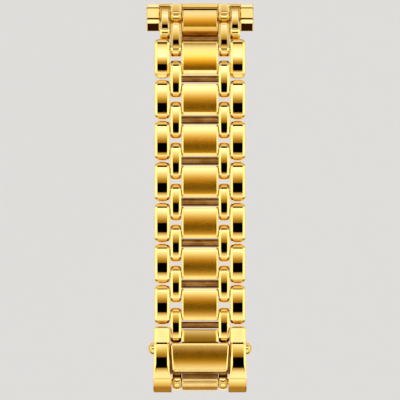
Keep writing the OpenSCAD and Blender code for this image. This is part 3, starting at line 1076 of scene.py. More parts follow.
@dataclass
class CentreLink:
    """Brushed middle link of a row, with polished lips and side bevels."""

    # Height share where the brushed face's painted shade is darkest.
    deep_at: float = 0.2
    bend: float = 0.0
    upper_lip: float = 0.4
    lower_lip: float = 0.62
    lip_y: float = -1.12
    back_cut: float = 0.4
    soft: float = 0.1
    brushed_from: float = 0.93
    edge: Edge = Edge(wide=0.28, deep=0.2, back_share=0.5, cap=0.8, soft=0.06)

    def build(self, name: str, place: Place, finishes: Finishes) -> bpy.types.Object:
        """Makes one link.

        Args:
            name: Name of the piece.
            place: Where its upper pin is.
            finishes: The finishes.

        Returns:
            The piece.
        """
        shell = Shell()
        bar = Bar(
            stoop(self._outline(), self.bend),
            ((0.0, 0.0), (0.0, -STRAP.row_span)),
            still(-STRAP.centre_x),
            still(STRAP.centre_x),
            self.edge,
            Grain.BRUSHED,
            brushed_from=self.brushed_from,
            deep_at=self.deep_at,
        )
        bar.build(shell, place)
        return shell.to_object(name, (finishes.polished, finishes.brushed))

    def _outline(self) -> Rows:
        """Side outline: crowned front, square ends, a bevelled lip at each end.

        Returns:
            Closed outline.
        """
        crown, back, top = STRAP.crown_r, STRAP.link_r, STRAP.centre_reach
        low = -STRAP.row_span - top
        middle = (crown - back, -STRAP.row_span / 2)
        tilt_up = math.degrees(math.asin((top - self.upper_lip - middle[1]) / crown))
        tilt_low = math.degrees(math.asin((middle[1] - low - self.lower_lip) / crown))
        front = arc(middle, crown, 180 - tilt_up, 180 + tilt_low, count=19)
        return rounded(
            [
                *with_radii(front, 0.08),
                (self.lip_y, low, 0.16),
                (back - self.back_cut, low, self.soft),
                (back, low + self.back_cut, self.soft),
                (back, top - self.back_cut, self.soft),
                (back - self.back_cut, top, self.soft),
                (self.lip_y, top, 0.12),
            ]
        )


@dataclass
class OuterLink:
    """Polished outer link with rounded plan corners and a pin bore at each end."""

    side: Side
    wide: float = STRAP.outer_w
    bend: float = 0.0
    edge: Edge = Edge()
    narrow_edge: Edge = Edge(wide=0.34, deep=0.24)

    def build(self, name: str, place: Place, finishes: Finishes) -> bpy.types.Object:
        """Makes one link. A link narrower than the others has finer bevels and corners.

        Args:
            name: Name of the piece.
            place: Where its upper pin is.
            finishes: The finishes.

        Returns:
            The piece.
        """
        span, link = STRAP.row_span, STRAP.link_r
        near = self.side.near(STRAP.outer_x, self.wide)
        narrow = self.wide < STRAP.outer_w
        corner = STRAP.corner_r / 2 if narrow else STRAP.corner_r
        shell = Shell()
        bar = Bar(
            stoop(round_outline(span), self.bend),
            ((0.0, 0.0), (0.0, -span)),
            lambda z: near + corner_inset(z, link, -span - link, corner),
            lambda z: near + self.wide - corner_inset(z, link, -span - link, corner),
            self.narrow_edge if narrow else self.edge,
            bores=tuple(Bore(0.0, z, STRAP.held_r) for z in (0.0, -span)),
            bored=(self.side,),
        )
        bar.build(shell, place)
        return shell.to_object(name, (finishes.polished,))


@dataclass
class IntermediateLink:
    """Two polished barrel lobes joined by a round bridge bar.

    stretch is how much further than its CAD solid a lobe reaches at each end, and bridge_into how
    far the bar runs into the lobes.
    """

    edge: Edge = Edge(wide=0.48, deep=0.32, cap=0.9)
    lobe_w: float = STRAP.mid_w
    stretch: float = 0.2
    bridge_r: float = STRAP.bridge_r
    bridge_into: float = 0.3
    barrel_r: float = 90.0
    corner_r: float = 0.45

    def build(self, name: str, place: Place, finishes: Finishes) -> bpy.types.Object:
        """Makes one link.

        Args:
            name: Name of the piece.
            place: Where its upper pin is.
            finishes: The finishes.

        Returns:
            The piece.
        """
        shell = Shell()
        span, middle = STRAP.mid_span, STRAP.mid_x + self.lobe_w / 2
        outline = round_outline(span + 2 * self.stretch) + (0.0, self.stretch)
        for side in Side:
            centre = side.value * middle
            bar = Bar(
                outline,
                ((0.0, 0.0), (0.0, -span)),
                lambda z, x=centre: x - self._half(z),
                lambda z, x=centre: x + self._half(z),
                self.edge,
                bores=tuple(Bore(0.0, z, STRAP.run_r) for z in (0.0, -span)),
            )
            bar.build(shell, place)
        reach = STRAP.mid_x + self.bridge_into
        profile = [(-reach, self.bridge_r), (reach, self.bridge_r)]
        # The bar takes the second of the link's two materials, gold painted darker with shade.
        shell.lathe(profile, (0.0, -span / 2), place, grain=1)
        return shell.to_object(name, (finishes.polished, finishes.recess))

    def _half(self, z: Rows) -> Rows:
        """Half width of a lobe.

        It is half the full width, less the square of the height from its middle over twice the
        barrel radius, less the plan corners.

        Args:
            z: Heights.

        Returns:
            The half width at each height.
        """
        barrel = (z + STRAP.mid_span / 2) ** 2 / (2 * self.barrel_r)
        top = STRAP.link_r + self.stretch
        return self.lobe_w / 2 - barrel - corner_inset(z, top, -STRAP.mid_span - top, self.corner_r)


@dataclass
class EndPiece:
    """End piece between the watch lugs: two shoulders, two knuckles, a middle lobe and a heel.

    overlap is how far the heel runs into the shoulders. The spines are (y, z) points inside each.
    """

    half_h: float = 2.5
    front: float = -4.4
    heel: float = 2.2
    heel_front: float = -1.22
    overlap: float = 0.3
    eye: Bore = Bore(0.0, 0.0, 0.8, 1.6)
    shoulder_spine: tuple[Pair, Pair] = ((-1.6, 0.0), (0.4, 0.0))
    knuckle_spine: tuple[Pair, Pair] = ((-2.0, STRAP.hinge_up), (-0.6, STRAP.hinge_up))
    lobe_spine: tuple[Pair, Pair] = ((-1.4, STRAP.hinge_up), (-0.8, STRAP.hinge_up))
    heel_spine: tuple[Pair, Pair] = ((0.6, -1.0), (0.6, 1.2))
    edge: Edge = Edge(wide=0.16, deep=0.16, back_share=0.8, cap=0.45, soft=0.06)

    def build(self, finishes: Finishes) -> bpy.types.Object:
        """Makes the piece.

        Args:
            finishes: The finishes.

        Returns:
            The piece.
        """
        shell = Shell()
        shoulder_w, knuckle_w = STRAP.end_x - STRAP.shoulder_x, STRAP.shoulder_x - STRAP.outer_x
        for side in Side:
            near = side.near(STRAP.shoulder_x, shoulder_w)
            ends = (near, near + shoulder_w)
            self._add(shell, self._shoulder(), self.shoulder_spine, ends, (self.eye,), (side,))
            near = side.near(STRAP.outer_x, knuckle_w)
            self._add(shell, self._knuckle(), self.knuckle_spine, (near, near + knuckle_w))
        self._add(shell, self._lobe(), self.lobe_spine, (-STRAP.centre_x, STRAP.centre_x))
        reach = STRAP.shoulder_x + self.overlap
        self._add(shell, self._heel(), self.heel_spine, (-reach, reach))
        return shell.to_object("end_piece_dressed", (finishes.polished,))

    def _add(
        self,
        shell: Shell,
        outline: Rows,
        spine: tuple[Pair, Pair],
        ends: Pair,
        bores: Sequence[Bore] = (),
        bored: Sequence[Side] = (),
    ) -> None:
        """Adds one bar whose side faces stay at two x. The other arguments are a Bar's fields."""
        bar = Bar(outline, spine, *map(still, ends), self.edge, bores=bores, bored=bored)
        bar.build(shell, Place())

    def _shoulder(self) -> Rows:
        """Shoulder: a top bevel, a groove, a tall cheek, a second groove, a band and a chin.

        Returns:
            Closed outline.
        """
        front, half = self.front, self.half_h
        return rounded(
            [
                (self.heel, half, 0.3),
                # Top bevel, down to the groove.
                (front + 1.35, half, 0.12),
                (front + 0.92, half - 0.62, 0.04),
                (front + 1.5, half - 0.82, 0.02),
                # Cheek, down to the second groove.
                (front + 0.39, half - 0.85, 0.05),
                (front + 0.02, -0.08, 0.05),
                (front + 0.85, -0.39, 0.02),
                # Band.
                (front + 0.07, -0.44, 0.05),
                (front, -1.12, 0.1),
                # Chin.
                (front + 0.3, -1.32, 0.08),
                (front + 2.0, -2.36, 0.1),
                (front + 2.2, -half, 0.1),
                (self.heel, -half, 0.3),
            ]
        )

    @staticmethod
    def _knuckle() -> Rows:
        """Round knuckle about the first pin, with a fine groove over its brow.

        Returns:
            Closed outline.
        """
        middle, link = (-STRAP.hinge_front, STRAP.hinge_up), STRAP.link_r
        return rounded(
            [
                *with_radii(arc(middle, link, 90, 138, count=9)),
                (middle[0] - 0.5, middle[1] + 0.85, 0.02),
                *with_radii(arc(middle, link, 149, 270, count=19)),
                (0.0, middle[1] - link, 0.0),
                (0.0, middle[1] + link, 0.0),
            ]
        )

    @staticmethod
    def _lobe() -> Rows:
        """Middle lobe: a steep lower band, a fine groove and a flatter upper band.

        Returns:
            Closed outline.
        """
        front, up = -STRAP.hinge_front - STRAP.centre_reach, STRAP.hinge_up
        top, low = up + STRAP.link_r, up - 1.3
        return rounded(
            [
                (0.0, top, 0.0),
                # Upper band, down to the groove.
                (front + 0.95, top, 0.12),
                (front + 0.5, up + 0.88, 0.05),
                (front + 1.1, up + 0.7, 0.02),
                # Lower band.
                (front + 0.3, up + 0.67, 0.05),
                (front, up - 0.3, 0.3),
                (front + 0.2, low, 0.2),
                (0.0, low, 0.0),
            ]
        )

    def _heel(self) -> Rows:
        """Body behind the knuckles, with a step under them.

        Returns:
            Closed outline.
        """
        top, step_y, step_z = STRAP.hinge_up + STRAP.link_r, -0.6, -self.half_h + 1.0
        return rounded(
            [
                (step_y, -self.half_h, 0.2),
                (self.heel, -self.half_h, 0.3),
                (self.heel, top, 0.3),
                (self.heel_front, top, 0.2),
                (self.heel_front, step_z, 0.0),
                (step_y, step_z, 0.0),
            ]
        )


# Clasp


@dataclass(frozen=True)
class Slab:
    """Rectangle in a side view, with the spine of its bar and two corner radii."""

    front: float
    back: float
    top: float
    low: float
    spine: tuple[Pair, Pair]
    front_r: float = 0.05
    back_r: float = 0.05

    def outline(self) -> Rows:
        """Works out its side outline.

        Returns:
            Closed outline.
        """
        return rounded(
            [
                (self.front, self.top, self.front_r),
                (self.back, self.top, self.back_r),
                (self.back, self.low, self.back_r),
                (self.front, self.low, self.front_r),
            ]
        )


@dataclass
class Rail:
    """One rail of the clasp's bow: a crowned front with a fine square groove, over a round nose.

    Heights are seen from the last strap pin. The upper end stands proud as a shelf above the
    groove, and the crowned face starts crown_gap below it. The rail widens inwards at the foot,
    and its bevels fade towards it.
    """

    inset: float = 0.03
    wide: float = 2.85
    flare: float = 0.2
    top: float = 1.45
    length: float = 12.25
    front: float = -2.4
    back: float = 2.6
    crown_r: float = 22.0
    crown_drop: float = 6.35
    crown_gap: float = 0.1
    crown_low: float = -8.3
    crown_points: int = 19
    shelf_slope: float = 0.13
    shelf_cut: Pair = (0.4, 0.3)
    groove: Pair = (-1.50, -1.82)
    groove_d: float = 0.42
    nose_r: float = 3.9
    nose_turn: Pair = (21.4, 49.0)
    nose_share: float = 0.374
    outer_corners: Pair = (0.5, 0.35)
    inner_corner: float = 0.4
    foot_w: float = 0.34
    foot_from: float = -6.9
    foot_h: float = 1.3
    fade: float = 0.75
    fade_from: float = -5.6
    fade_h: float = 2.2
    blind: float = 0.5
    hinge_bore: Triple = (1.545, -4.696, 0.362)
    spine: tuple[Pair, Pair] = ((0.3, 0.0), (0.9, -7.2))
    edge: Edge = Edge(wide=0.46, deep=0.34, back_share=0.35, cap=0.6, soft=0.08)

    @property
    def near(self) -> float:
        """Distance of its straight inner face from the middle."""
        return STRAP.outer_x + self.inset

    @property
    def low(self) -> float:
        """Lower end."""
        return self.top - self.length

    def crown(self, z: float, drop: float) -> float:
        """y of a front crowned about a point at drop below the top, on a circle of the crown radius."""
        return self.front + self.crown_r - math.sqrt(self.crown_r**2 - (z - self.top + drop) ** 2)

    def build(self, shell: Shell, side: Side, place: Place) -> None:
        """Adds the rail to a shell.

        Args:
            shell: What it goes into.
            side: Side of the clasp.
            place: Where the clasp is.
        """
        faces = self._inner, self._outer
        if side is Side.LEFT:
            faces = (lambda z: -self._outer(z)), (lambda z: -self._inner(z))
        lower_bore = Bore(*STRAP.lower_pin, STRAP.held_r, self.blind)
        bar = Bar(
            self._outline(),
            self.spine,
            *faces,
            self.edge,
            bevel_share=self._bevel,
            bores=(Bore(*self.hinge_bore, self.blind), lower_bore),
            bored=(side,),
        )
        bar.build(shell, place)

    def _outer(self, z: Rows) -> Rows:
        """Outer face: the width grows evenly towards the lower end, less the plan corners.

        Args:
            z: Heights.

        Returns:
            Its distance from the middle at each height.
        """
        grown = self.wide + self.flare * np.clip((self.top - z) / self.length, 0, 1)
        upper, lower = self.outer_corners
        inset = corner_inset(z, self.top, -FAR, upper) + corner_inset(z, FAR, self.low, lower)
        return self.near + grown - inset

    def _inner(self, z: Rows) -> Rows:
        """Inner face: straight, less the upper plan corner, and further in by a smooth step at the foot.

        Args:
            z: Heights.

        Returns:
            Its distance from the middle at each height.
        """
        step = np.clip((self.foot_from - z) / self.foot_h, 0, 1)
        inset = corner_inset(z, self.top, -FAR, self.inner_corner)
        return self.near + inset - self.foot_w * step**2 * (3 - 2 * step)

    def _bevel(self, z: Rows) -> Rows:
        """Share of the bevel: it fades evenly towards the foot."""
        return 1 - self.fade * np.clip((self.fade_from - z) / self.fade_h, 0, 1)

    def _outline(self) -> Rows:
        """Works out the side outline.

        Returns:
            Closed outline.
        """
        upper, lower = self.groove
        upper_y, lower_y = (self.crown(z, self.crown_drop) for z in self.groove)
        floor_y = lower_y + self.groove_d
        cut_y, cut_z = self.shelf_cut
        shelf = upper_y + self.shelf_slope * (self.top - cut_z - upper)
        heights = np.linspace(lower - self.crown_gap, self.crown_low, self.crown_points)
        nose_y = self.nose_r + self.front
        start, stop = self.nose_turn
        nose = arc((nose_y, self.low + self.nose_r), self.nose_r, 180 + start, 180 + stop, count=7)
        return rounded(
            [
                (self.back, self.top, 0.25),
                # Shelf.
                (shelf + cut_y, self.top, 0.12),
                (shelf, self.top - cut_z, 0.08),
                # Groove.
                (upper_y, upper, 0.03),
                (floor_y - 0.01, upper, 0.02),
                (floor_y, lower, 0.02),
                (lower_y, lower, 0.03),
                # Crowned front, round nose and steeper underside.
                *((self.crown(z, self.crown_drop), z, 0.0) for z in heights),
                *with_radii(nose),
                (nose_y - self.nose_share * self.nose_r, self.low, 0.1),
                (self.back, self.low + 0.05, 0.1),
            ]
        )


@dataclass
class Plate:
    """Brushed cover plate, tapered downwards, with a polished lip along its upper edge.

    Its crowned face stays crown_gaps away from its upper and its lower end.
    """

    rail: Rail
    top: float = -1.55
    low: float = -6.95
    back: float = -1.15
    half_w: float = 5.4
    taper: float = 0.34
    corner_r: float = 0.45
    crown_drop: float = 5.05
    crown_gaps: Pair = (0.55, 0.15)
    crown_points: int = 18
    lip: float = 0.42
    lip_back: float = 0.34
    spine_y: float = -1.75
    spine_cut: float = 0.6
    edge: Edge = Edge(wide=0.24, deep=0.18, back_share=0.4, cap=0.43, soft=0.05)

    def build(self, place: Place, finishes: Finishes) -> bpy.types.Object:
        """Makes the plate.

        Args:
            place: Where the clasp is.
            finishes: The finishes.

        Returns:
            The piece.
        """
        ends = (self.top - self.spine_cut, self.low + self.spine_cut)
        bar = Bar(
            self._outline(),
            ((self.spine_y, ends[0]), (self.spine_y, ends[1])),
            lambda z: -self._half(z),
            self._half,
            self.edge,
            Grain.BRUSHED,
            brushed_from=0.9,
            # Painted shade on the brushed face, darkest halfway down.
            deep_at=0.5,
        )
        shell = Shell()
        bar.build(shell, place)
        return shell.to_object("cover_plate_dressed", (finishes.polished, finishes.brushed))

    def _half(self, z: Rows) -> Rows:
        """Half width: narrows evenly downwards, less the lower plan corners."""
        share = np.clip((self.top - z) / (self.top - self.low), 0, 1)
        return self.half_w - self.taper * share - corner_inset(z, FAR, self.low, self.corner_r)

    def _outline(self) -> Rows:
        """Works out the side outline. Its front is crowned like a rail's, about a higher point.

        Returns:
            Closed outline.
        """
        lip_z = self.top - self.lip
        above, below = self.crown_gaps
        heights = np.linspace(self.top - above, self.low + below, self.crown_points)
        upper_y, lip_y, lower_y, *face = (
            self.rail.crown(z, self.crown_drop) for z in (self.top, lip_z, self.low, *heights)
        )
        return rounded(
            [
                (self.back, self.top, 0.05),
                (upper_y + self.lip_back, self.top, 0.1),
                (lip_y, lip_z, 0.06),
                *((y, z, 0.0) for y, z in zip(face, heights)),
                (lower_y + 0.03, self.low + 0.06, 0.03),
                (lower_y + 0.12, self.low, 0.04),
                (self.back, self.low, 0.05),
            ]
        )


@dataclass
class Button:
    """Push button with a collar, a shank and a domed head, and the coil spring round its shank.

    axis is the y and z of both, seen from the last strap pin. Places along X count from the
    middle of the clasp, and stem is the (x, radius) profile of the collar. sides are the points
    round the button, and rings those along the spring's wire.
    """

    axis: Pair = (0.5, -2.65)
    stem: tuple[Pair, ...] = ((4.8, 0.6), (4.84, 0.65), (5.26, 0.65), (5.3, 0.61), (5.3, 0.55))
    stem_r: float = 0.55
    head_to: float = 9.587
    head_r: float = 1.15
    rim: float = 0.05
    dome_from: float = 8.62
    dome_power: float = 2.4
    dome_rings: int = 16
    sides: int = 64
    spring_from: float = 6.52
    spring_length: float = 1.25
    travel: float = 0.5
    turns: float = 5.0
    coil_r: float = 0.88
    wire_r: float = 0.13
    wire_sides: int = 12
    rings: int = 240
    closing: float = 0.09

    @property
    def head_from(self) -> float:
        """Inner face of the head, where the spring ends."""
        return self.spring_from + self.spring_length

    @property
    def keep(self) -> float:
        """Share of its length that the spring keeps when the button is in."""
        return (self.spring_length - self.travel) / self.spring_length

    def build(self, side: Side, place: Place, finishes: Finishes) -> bpy.types.Object:
        """Makes the button.

        The dome's radius is the head's times the root of 1 less the dome_power of the share of
        its height.

        Args:
            side: Side of the clasp.
            place: Where the clasp is.
            finishes: The finishes.

        Returns:
            The piece.
        """
        share = np.linspace(0.0, ALMOST, self.dome_rings)
        along = self.dome_from + (self.head_to - self.dome_from) * share
        dome = np.column_stack([along, self.head_r * np.sqrt(1 - share**self.dome_power)])
        start = self.head_from
        rim = [(start, self.stem_r), (start, self.head_r - self.rim), (start + self.rim, self.head_r)]
        profile = np.vstack([self.stem, rim, dome])
        profile[:, 0] *= side.value
        shell = Shell()
        shell.lathe(profile, self.axis, place, self.sides)
        return shell.to_object(f"button_{side.word}_dressed", (finishes.polished,))

    def spring(self, side: Side, place: Place, finishes: Finishes) -> bpy.types.Object:
        """Makes the spring.

        The wire's middle is (x, y + r cos a, z + r sin a) while a makes its turns. x rises with
        the share of the turns less closing times the sine of a full circle times that share, so
        both end coils lie close. The wire's ring is spanned by the radial direction and X.

        Args:
            side: Side of the clasp.
            place: Where the clasp is.
            finishes: The finishes.

        Returns:
            The piece.
        """
        share = np.linspace(0.0, 1.0, self.rings)
        angle = 2 * math.pi * self.turns * share
        eased = share - self.closing * np.sin(2 * math.pi * share)
        x = self.spring_from + self.wire_r + (self.spring_length - 2 * self.wire_r) * eased
        out, across = self.wire_r * circle(self.wire_sides).T
        radius = self.coil_r + out[None]
        y, z = self.axis
        points = np.stack(
            [
                side.value * (x[:, None] + across[None]),
                y + radius * np.cos(angle)[:, None],
                z + radius * np.sin(angle)[:, None],
            ],
            axis=-1,
        )
        shell = Shell()
        index = shell.grid(place.put(points))
        for end in (0, -1):
            shell.fan(index[end], place.put(points[end].mean(0)))
        return shell.to_object(f"button_spring_{side.word}_coil", (finishes.satin,))


@dataclass
class Clasp:
    """Folding clasp: bow with two rails and a cover plate, two push buttons and their springs."""

    rail: Rail = field(default_factory=Rail)
    button: Button = field(default_factory=Button)
    web: Slab = Slab(
        front=-1.15,
        back=-0.55,
        top=-1.9,
        low=-7.35,
        spine=((-0.85, -2.2), (-0.85, -7.05)),
    )
    crossbar: Slab = Slab(
        front=-2.1,
        back=-0.55,
        top=-7.0,
        low=-7.35,
        spine=((-1.9, -7.175), (-0.75, -7.175)),
        front_r=0.1,
        back_r=0.0,
    )
    neck: Slab = Slab(
        front=-1.15,
        back=-0.05,
        top=-7.1,
        low=-8.2,
        spine=((-0.6, -7.5), (-0.6, -7.9)),
        front_r=0.1,
        back_r=0.1,
    )
    web_into: float = 0.3
    lobe_r: float = 1.5
    lobe_turn: Pair = (53.0, 307.0)
    plain_edge: Edge = Edge(wide=0.1, deep=0.1, back_share=1.0, cap=0.16, soft=0.03)
    lobe_edge: Edge = Edge(wide=0.14, deep=0.12, back_share=0.8, cap=0.5, soft=0.05)

    @property
    def place(self) -> Place:
        """The clasp's own heights start at the last strap pin."""
        return Place(*STRAP.last_pin)

    def frame(self, finishes: Finishes) -> bpy.types.Object:
        """Makes the bow: rails, web, crossbar, neck and the lobe on the lower pin.

        Args:
            finishes: The finishes.

        Returns:
            The piece.
        """
        shell = Shell()
        for side in Side:
            self.rail.build(shell, side, self.place)
        inner = self.rail.near + self.web_into
        for slab, half in ((self.web, inner), (self.crossbar, inner), (self.neck, STRAP.centre_x)):
            # Web, crossbar and neck lie deep behind the plate and take gold painted darker with shade.
            bar = Bar(
                slab.outline(), slab.spine, still(-half), still(half), self.plain_edge, Grain.RECESSED
            )
            bar.build(shell, self.place)
        self._lower_lobe(shell)
        return shell.to_object("clasp_frame_dressed", (finishes.polished, finishes.satin, finishes.recess))

    def _lower_lobe(self, shell: Shell) -> None:
        """Adds the lobe on the lower pin: a circle cut flat behind, satin all round.

        Args:
            shell: What it goes into.
        """
        y, z = STRAP.lower_pin
        nose = arc((y, z), self.lobe_r, *self.lobe_turn, count=33)
        back, half, corner = 0.1, 0.01, 0.1
        bar = Bar(
            rounded(with_radii(nose, corner)),
            ((y - back, z + half), (y - back, z - half)),
            still(-STRAP.centre_x),
            still(STRAP.centre_x),
            self.lobe_edge,
            Grain.BRUSHED,
            brushed_from=-2.0,
        )
        bar.build(shell, self.place)


# Stage


@dataclass(frozen=True)
class Arch:
    """Tunnel of reflector cards round the strap, seen by glossy rays alone.

    Angles are in degrees: 0 is in front of the strap, 90 over it and 180 behind it. A card is an
    angle with its glow there. A flag is a dark stretch from one angle to another, so that a
    crowned face whose mirrored rays pass it shows one dark band.
    """

    radius: float = 500.0
    half_w: float = 390.0
    middle: Pair = (-12.0, -34.0)
    flags: tuple[tuple[float, float, Triple], ...] = (
        (-120.0, -110.0, (0.03, 0.01, 0.0)),
        (-30.5, -26.6, (0.05, 0.02, 0.01)),
        (-11.2, -1.2, (0.0, 0.0, 0.0)),
        (36.6, 42.8, (0.0, 0.0, 0.0)),
        (52.8, 57.5, (0.0, 0.0, 0.0)),
        (85.5, 91.0, (0.0, 0.0, 0.0)),
        (121.0, 124.0, (0.03, 0.01, 0.0)),
    )
    cards: tuple[tuple[float, Triple], ...] = (
        (-105.0, (0.30, 0.20, 0.08)),
        (-96.0, (0.50, 0.31, 0.10)),
        (-85.0, (0.80, 0.62, 0.36)),
        (-65.0, (1.05, 1.00, 0.90)),
        (-48.0, (1.35, 1.45, 2.00)),
        (-42.0, (1.25, 1.30, 1.60)),
        (-32.0, (1.15, 1.10, 1.00)),
        (-25.8, (0.80, 0.60, 0.30)),
        (-20.0, (1.30, 1.40, 1.90)),
        (-16.0, (1.20, 1.25, 1.50)),
        (-11.8, (0.55, 0.34, 0.10)),
        (-0.6, (0.34, 0.18, 0.03)),
        (3.0, (0.58, 0.40, 0.12)),
        (7.0, (0.95, 0.85, 0.55)),
        (10.0, (1.10, 1.20, 1.50)),
        (14.0, (1.65, 1.85, 2.70)),
        (20.0, (1.55, 1.70, 2.40)),
        (28.0, (1.20, 1.30, 1.70)),
        (34.0, (0.95, 0.85, 0.60)),
        (36.0, (0.45, 0.27, 0.08)),
        (43.4, (0.45, 0.27, 0.08)),
        (46.0, (0.95, 0.85, 0.60)),
        (49.0, (1.10, 0.98, 0.80)),
        (52.0, (0.30, 0.18, 0.05)),
        (58.3, (0.42, 0.25, 0.06)),
        (66.0, (0.95, 0.85, 0.60)),
        (75.0, (1.20, 1.40, 2.40)),
        (83.0, (1.20, 1.05, 0.90)),
        (92.0, (0.42, 0.25, 0.06)),
        (98.0, (0.95, 0.85, 0.60)),
        (105.0, (1.20, 1.40, 2.40)),
        (112.0, (1.15, 1.15, 1.40)),
        (118.0, (0.60, 0.45, 0.20)),
        (126.0, (0.80, 0.60, 0.30)),
        (145.0, (0.95, 0.90, 0.70)),
        (165.0, (1.10, 1.20, 1.50)),
        (172.0, (0.95, 0.80, 0.50)),
        (186.0, (0.70, 0.55, 0.30)),
        (200.0, (1.10, 1.10, 1.00)),
        (220.0, (0.95, 0.80, 0.55)),
        (234.0, (0.45, 0.27, 0.09)),
        (240.0, (0.03, 0.01, 0.0)),
    )
    step: float = 4.0
    unseen_by: tuple[str, ...] = ("camera", "diffuse", "transmission", "shadow", "volume_scatter")

    def build(self) -> None:
        """Makes the tunnel.

        A point at angle a is (x, middle y - radius cos a, middle z + radius sin a), and its glow
        is the straight blend of the two stops next to it. A stop is a card or an end of a flag.
        """
        ends = [(angle, colour) for *both, colour in self.flags for angle in both]
        stops = sorted([*self.cards, *ends])
        angles = np.array([angle for angle, _ in stops])
        glow = np.array([colour for _, colour in stops])
        every = np.union1d(angles, np.arange(angles[0], angles[-1], self.step))
        turn = np.radians(every)
        y, z = self.middle
        ring = np.stack([0 * turn, y - self.radius * np.cos(turn), z + self.radius * np.sin(turn)], axis=1)
        across = np.array([[-self.half_w, 0.0, 0.0], [self.half_w, 0.0, 0.0]])
        index = np.arange(2 * len(every)).reshape(-1, 2)
        faces = np.stack([index[:-1, 0], index[1:, 0], index[1:, 1], index[:-1, 1]], axis=1)
        mesh = bpy.data.meshes.new("arch")
        mesh.from_pydata(((ring[:, None] + across).reshape(-1, 3) * MM).tolist(), [], faces.tolist())
        parts = [np.interp(every, angles, part) for part in glow.T]
        colours = np.stack([*parts, np.ones_like(every)], axis=1)
        shade = mesh.attributes.new("glow", "FLOAT_COLOR", "POINT")
        shade.data.foreach_set("color", np.repeat(colours, 2, axis=0).astype(np.float32).ravel())
        mesh.materials.append(self._material())
        arch = bpy.data.objects.new("arch", mesh)
        bpy.context.scene.collection.objects.link(arch)
        for kind in self.unseen_by:
            setattr(arch, f"visible_{kind}", False)

    @staticmethod
    def _material() -> bpy.types.Material:
        """Glow by the mesh's own attribute.

        Returns:
            The material.
        """
        graph, made = new_material("stage_cards")
        glow = graph.attribute("glow", "Color")
        graph.show(graph.node("ShaderNodeEmission", {}, {"Color": glow, "Strength": 1.0}))
        return made


@dataclass(frozen=True)
class SoftBox:
    """Area lamp with its place and its size in metres. A glow of 1 shows as white."""

    name: str
    place: Triple
    wide: float
    high: float
    glow: float
    mirrored: bool = True

    def build(self, target: Vector) -> None:
        """Makes the lamp.

        Args:
            target: Where it looks.
        """
        lamp = bpy.data.lights.new(self.name, "AREA")
        lamp.shape, lamp.size, lamp.size_y = "RECTANGLE", self.wide, self.high
        lamp.energy = self.glow * math.pi * self.wide * self.high
        made = bpy.data.objects.new(self.name, lamp)
        made.location = self.place
        made.rotation_euler = (target - Vector(self.place)).to_track_quat("-Z", "Y").to_euler()
        made.visible_camera = False
        made.visible_glossy = self.mirrored
        bpy.context.scene.collection.objects.link(made)


